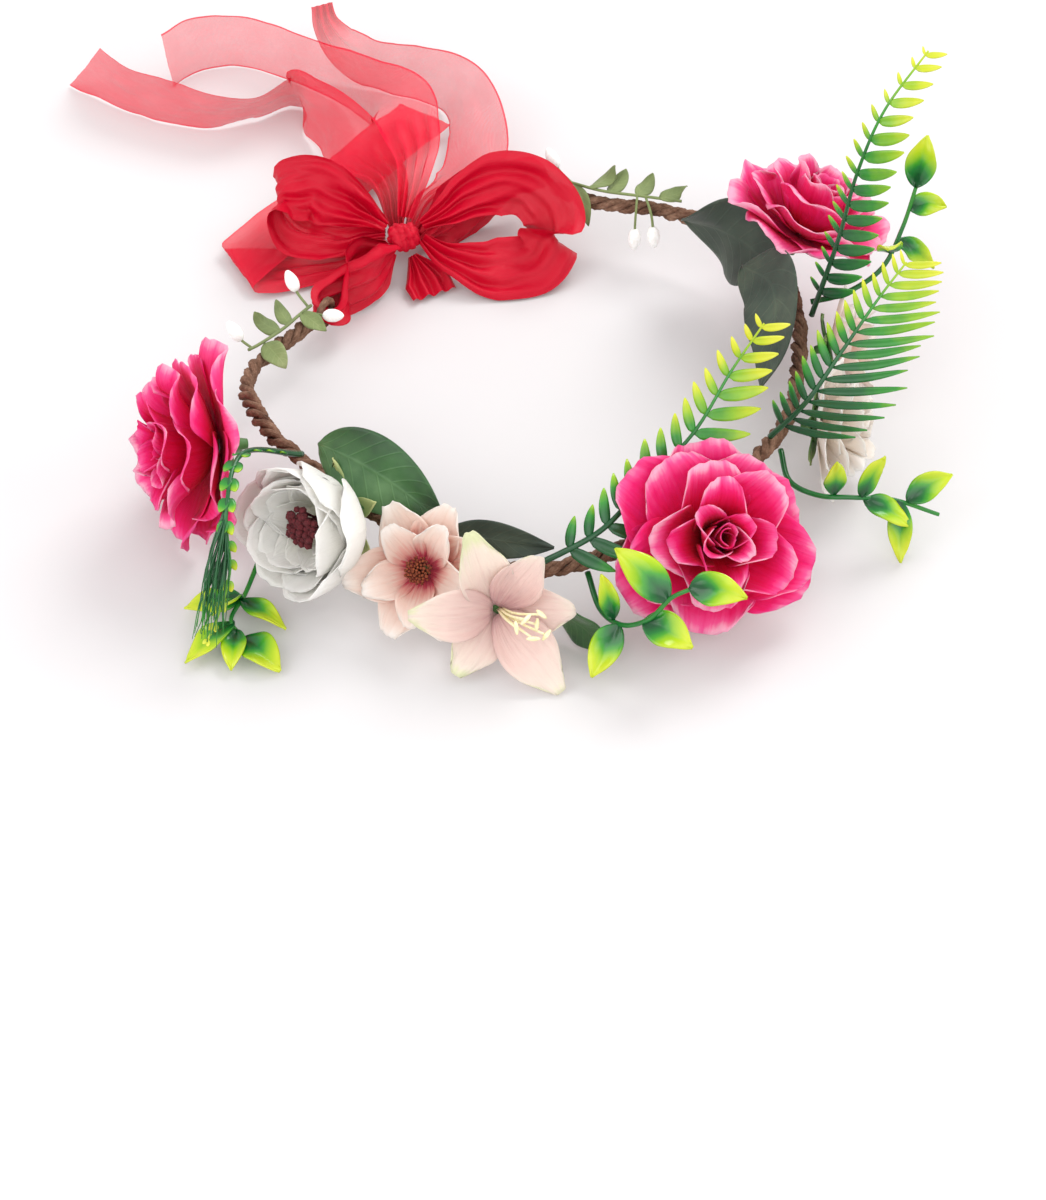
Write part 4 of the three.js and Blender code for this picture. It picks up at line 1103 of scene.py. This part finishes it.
def loopWidth(t):
    return 0.96 * min(spread(t), spread(1 - t))


ribbonPiece("bow_left", "bow_loop_left", [
    [*fromKnotTo(-7, 1, 3), 0, 1, .3], [-58, 84, 25, -.1, .6, .8], [-74, 89, 31, -.1, .5, .8],
    [-86, 90, 26, 0, .8, .5],
    [-82, 86, 17, 0, .9, .35], [-66, 82, 14, 0, .9, .3], [*fromKnotTo(-7, 1, .5), 0, 1, .3],
], loopWidth, layers=9, crumple=3.4, seed=2)
ribbonPiece("bow_right", "bow_loop_right", [
    [*fromKnotTo(7, 2, 3), 0, 1, .4], [-22, 86, 24, .1, .5, .8], [-6, 92, 30, .2, .4, .8],
    [8, 92, 27, .3, .3, .9],
    [15.2, 84, 18, .3, .5, .7], [9.4, 74, 9, .1, .7, .5], [-8, 70, 8, 0, .8, .5], [-24, 73, 11, 0, .9, .4],
    [*fromKnotTo(7, -1, 0), 0, 1, .4],
], loopWidth, layers=6.5, crumple=2.0, seed=3)


def leadWidth(t):
    return 0.95 * min(spread(t, 0.12), spread(1 - t, 0.12), spread(abs(t - 0.5), 0.22))


leads = {
    "left": {"out": [-60, 60, 14], "back": [-51, 57, 14], "start": (-6, -4, -1), "end": (-3, -7, -1)},
    "right": {"out": [-20, 95, 11], "back": [-24, 101, 11], "start": (6, 3, -5), "end": (5, 7, -5)},
}
for side, lead in leads.items():
    centre, ahead, axis = eyeFrame(vine[side + "Tip"])
    inEye = [list(centre + axis * across + ahead * along)
             for across, along in ((5, 5), (3.4, 0.5), (0, 0), (-3.4, 0.5), (-5, 5))]
    stops = [fromKnotTo(*lead["start"]), lead["out"], *inEye, lead["back"], fromKnotTo(*lead["end"])]
    piece = ribbonPiece("lead_" + side + "_ribbon", "lead_" + side, [[*stop, 0, 0, 1] for stop in stops],
                        leadWidth, layers=6, crumple=2.2, seed=5 + len(side), body=None)
    nearKnot = Vector(ribbonCut["knot"]) * 0.75 + centre * 0.25
    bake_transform(piece)
ribbonPiece("tail_short_ribbon", "tail_short", [
    [*fromKnotTo(3, -5, -5), 1, .2, .2], [-33, 70, 5, 1, .3, .1], [-29, 62, 2, 1, .4, 0],
], lambda t: 0.7 * spread(t, 0.6), layers=5.0, seed=8)
corner, crease = Vector((-101, 75.5, 3)), Vector((-0.479, 0.878, 0))
ribbonPiece("tail_cross_ribbon", "tail_cross", [
    [-46, 79, 10, 0, 1, 0], [-60, 78.1, 5, 0, 1, 0], [-80, 76.8, 3, 0, 1, 0], [-101, 75.5, 3, 0, 1, 0],
    [-130, 73.7, 3.4, 0, 1, 0],
    [-160, 71.8, 2.6, 0, 1, 0], [-190, 69.9, 3.6, 0, 1, 0], [-216, 68.3, 3, 0, 1, 0],
], layers=2.6, crumple=0.8, seed=9, fold=lambda point: foldOver(point, corner, crease, 1.3))
ribbonPiece("tail_far_ribbon", "tail_far", [
    [*fromKnotTo(-3, 6, -2), 1, 0, .2], [-46, 108, 18, .9, .2, .1], [-57, 130, 13, .8, .2, .1],
    [-69, 149, 15, .5, .1, .85],
    [-79, 161, 13.5, .3, 0, .95], [-86, 172, 12.5, 0, -.5, .85], [-100, 163, 12.5, 0, -.6, .8],
    [-116, 160, 12.5, 0, -.4, .9], [-134, 165, 12.8, .1, -.2, 1], [-150, 173, 13, .1, -.2, 1],
    [-165, 185, 13, .1, 0, 1], [-176, 194, 13, .1, .1, 1],
], layers=2.2, crumple=0.9, seed=10, slant=0.09)
ribbonPiece("tail_arch_ribbon", "tail_arch", [
    [*fromKnotTo(0, 6, 4), 1, 0, .3], [-37, 98, 27, .9, .1, .3], [-36, 114, 28, .8, .2, .5],
    [-42, 138, 33, .8, .2, .4],
    [-53, 161, 20, .3, .3, .9], [-67, 180, 14, .1, .1, 1], [-81, 190, 13, 0, 0, 1], [-93, 198, 13, 0, 0, 1],
    [-105, 204, 13, 0, 0, 1], [-117, 205, 13, 0, 0, 1], [-129, 201, 13, 0, .1, 1], [-137, 192, 12.6, .1, .3, 1],
], layers=1.3, crumple=0.7, seed=11)
ribbonPiece("tail_flap_ribbon", "tail_flap", [
    [*fromKnotTo(2, 7, -2), 1, 0, .2], [-32, 103, 15, .8, -.3, .3], [-19, 121, 11, 1, -.1, .2],
    [-14, 137, 8, 1, 0, .2],
    [-15, 156, 12.5, .8, .2, .6], [-22, 175, 13, .4, .2, .9], [-36, 183, 13, 0, .1, 1], [-48, 186, 13, 0, 0, 1],
    [-58, 190, 14, 0, 0, 1], [-68, 197, 16, .2, .2, .9], [-74, 203, 22, .6, .3, .6], [-76, 207, 29, .9, .2, .1],
], lambda t: spread(t) * (1 - 0.66 * smoothStep(0.82, 1, t)), layers=1.3, crumple=0.8, seed=12)
print("ribbons tied")

boxes = {"cad": cadBox, "visual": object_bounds()}
{name: [list(corner) for corner in box] for name, box in boxes.items()}
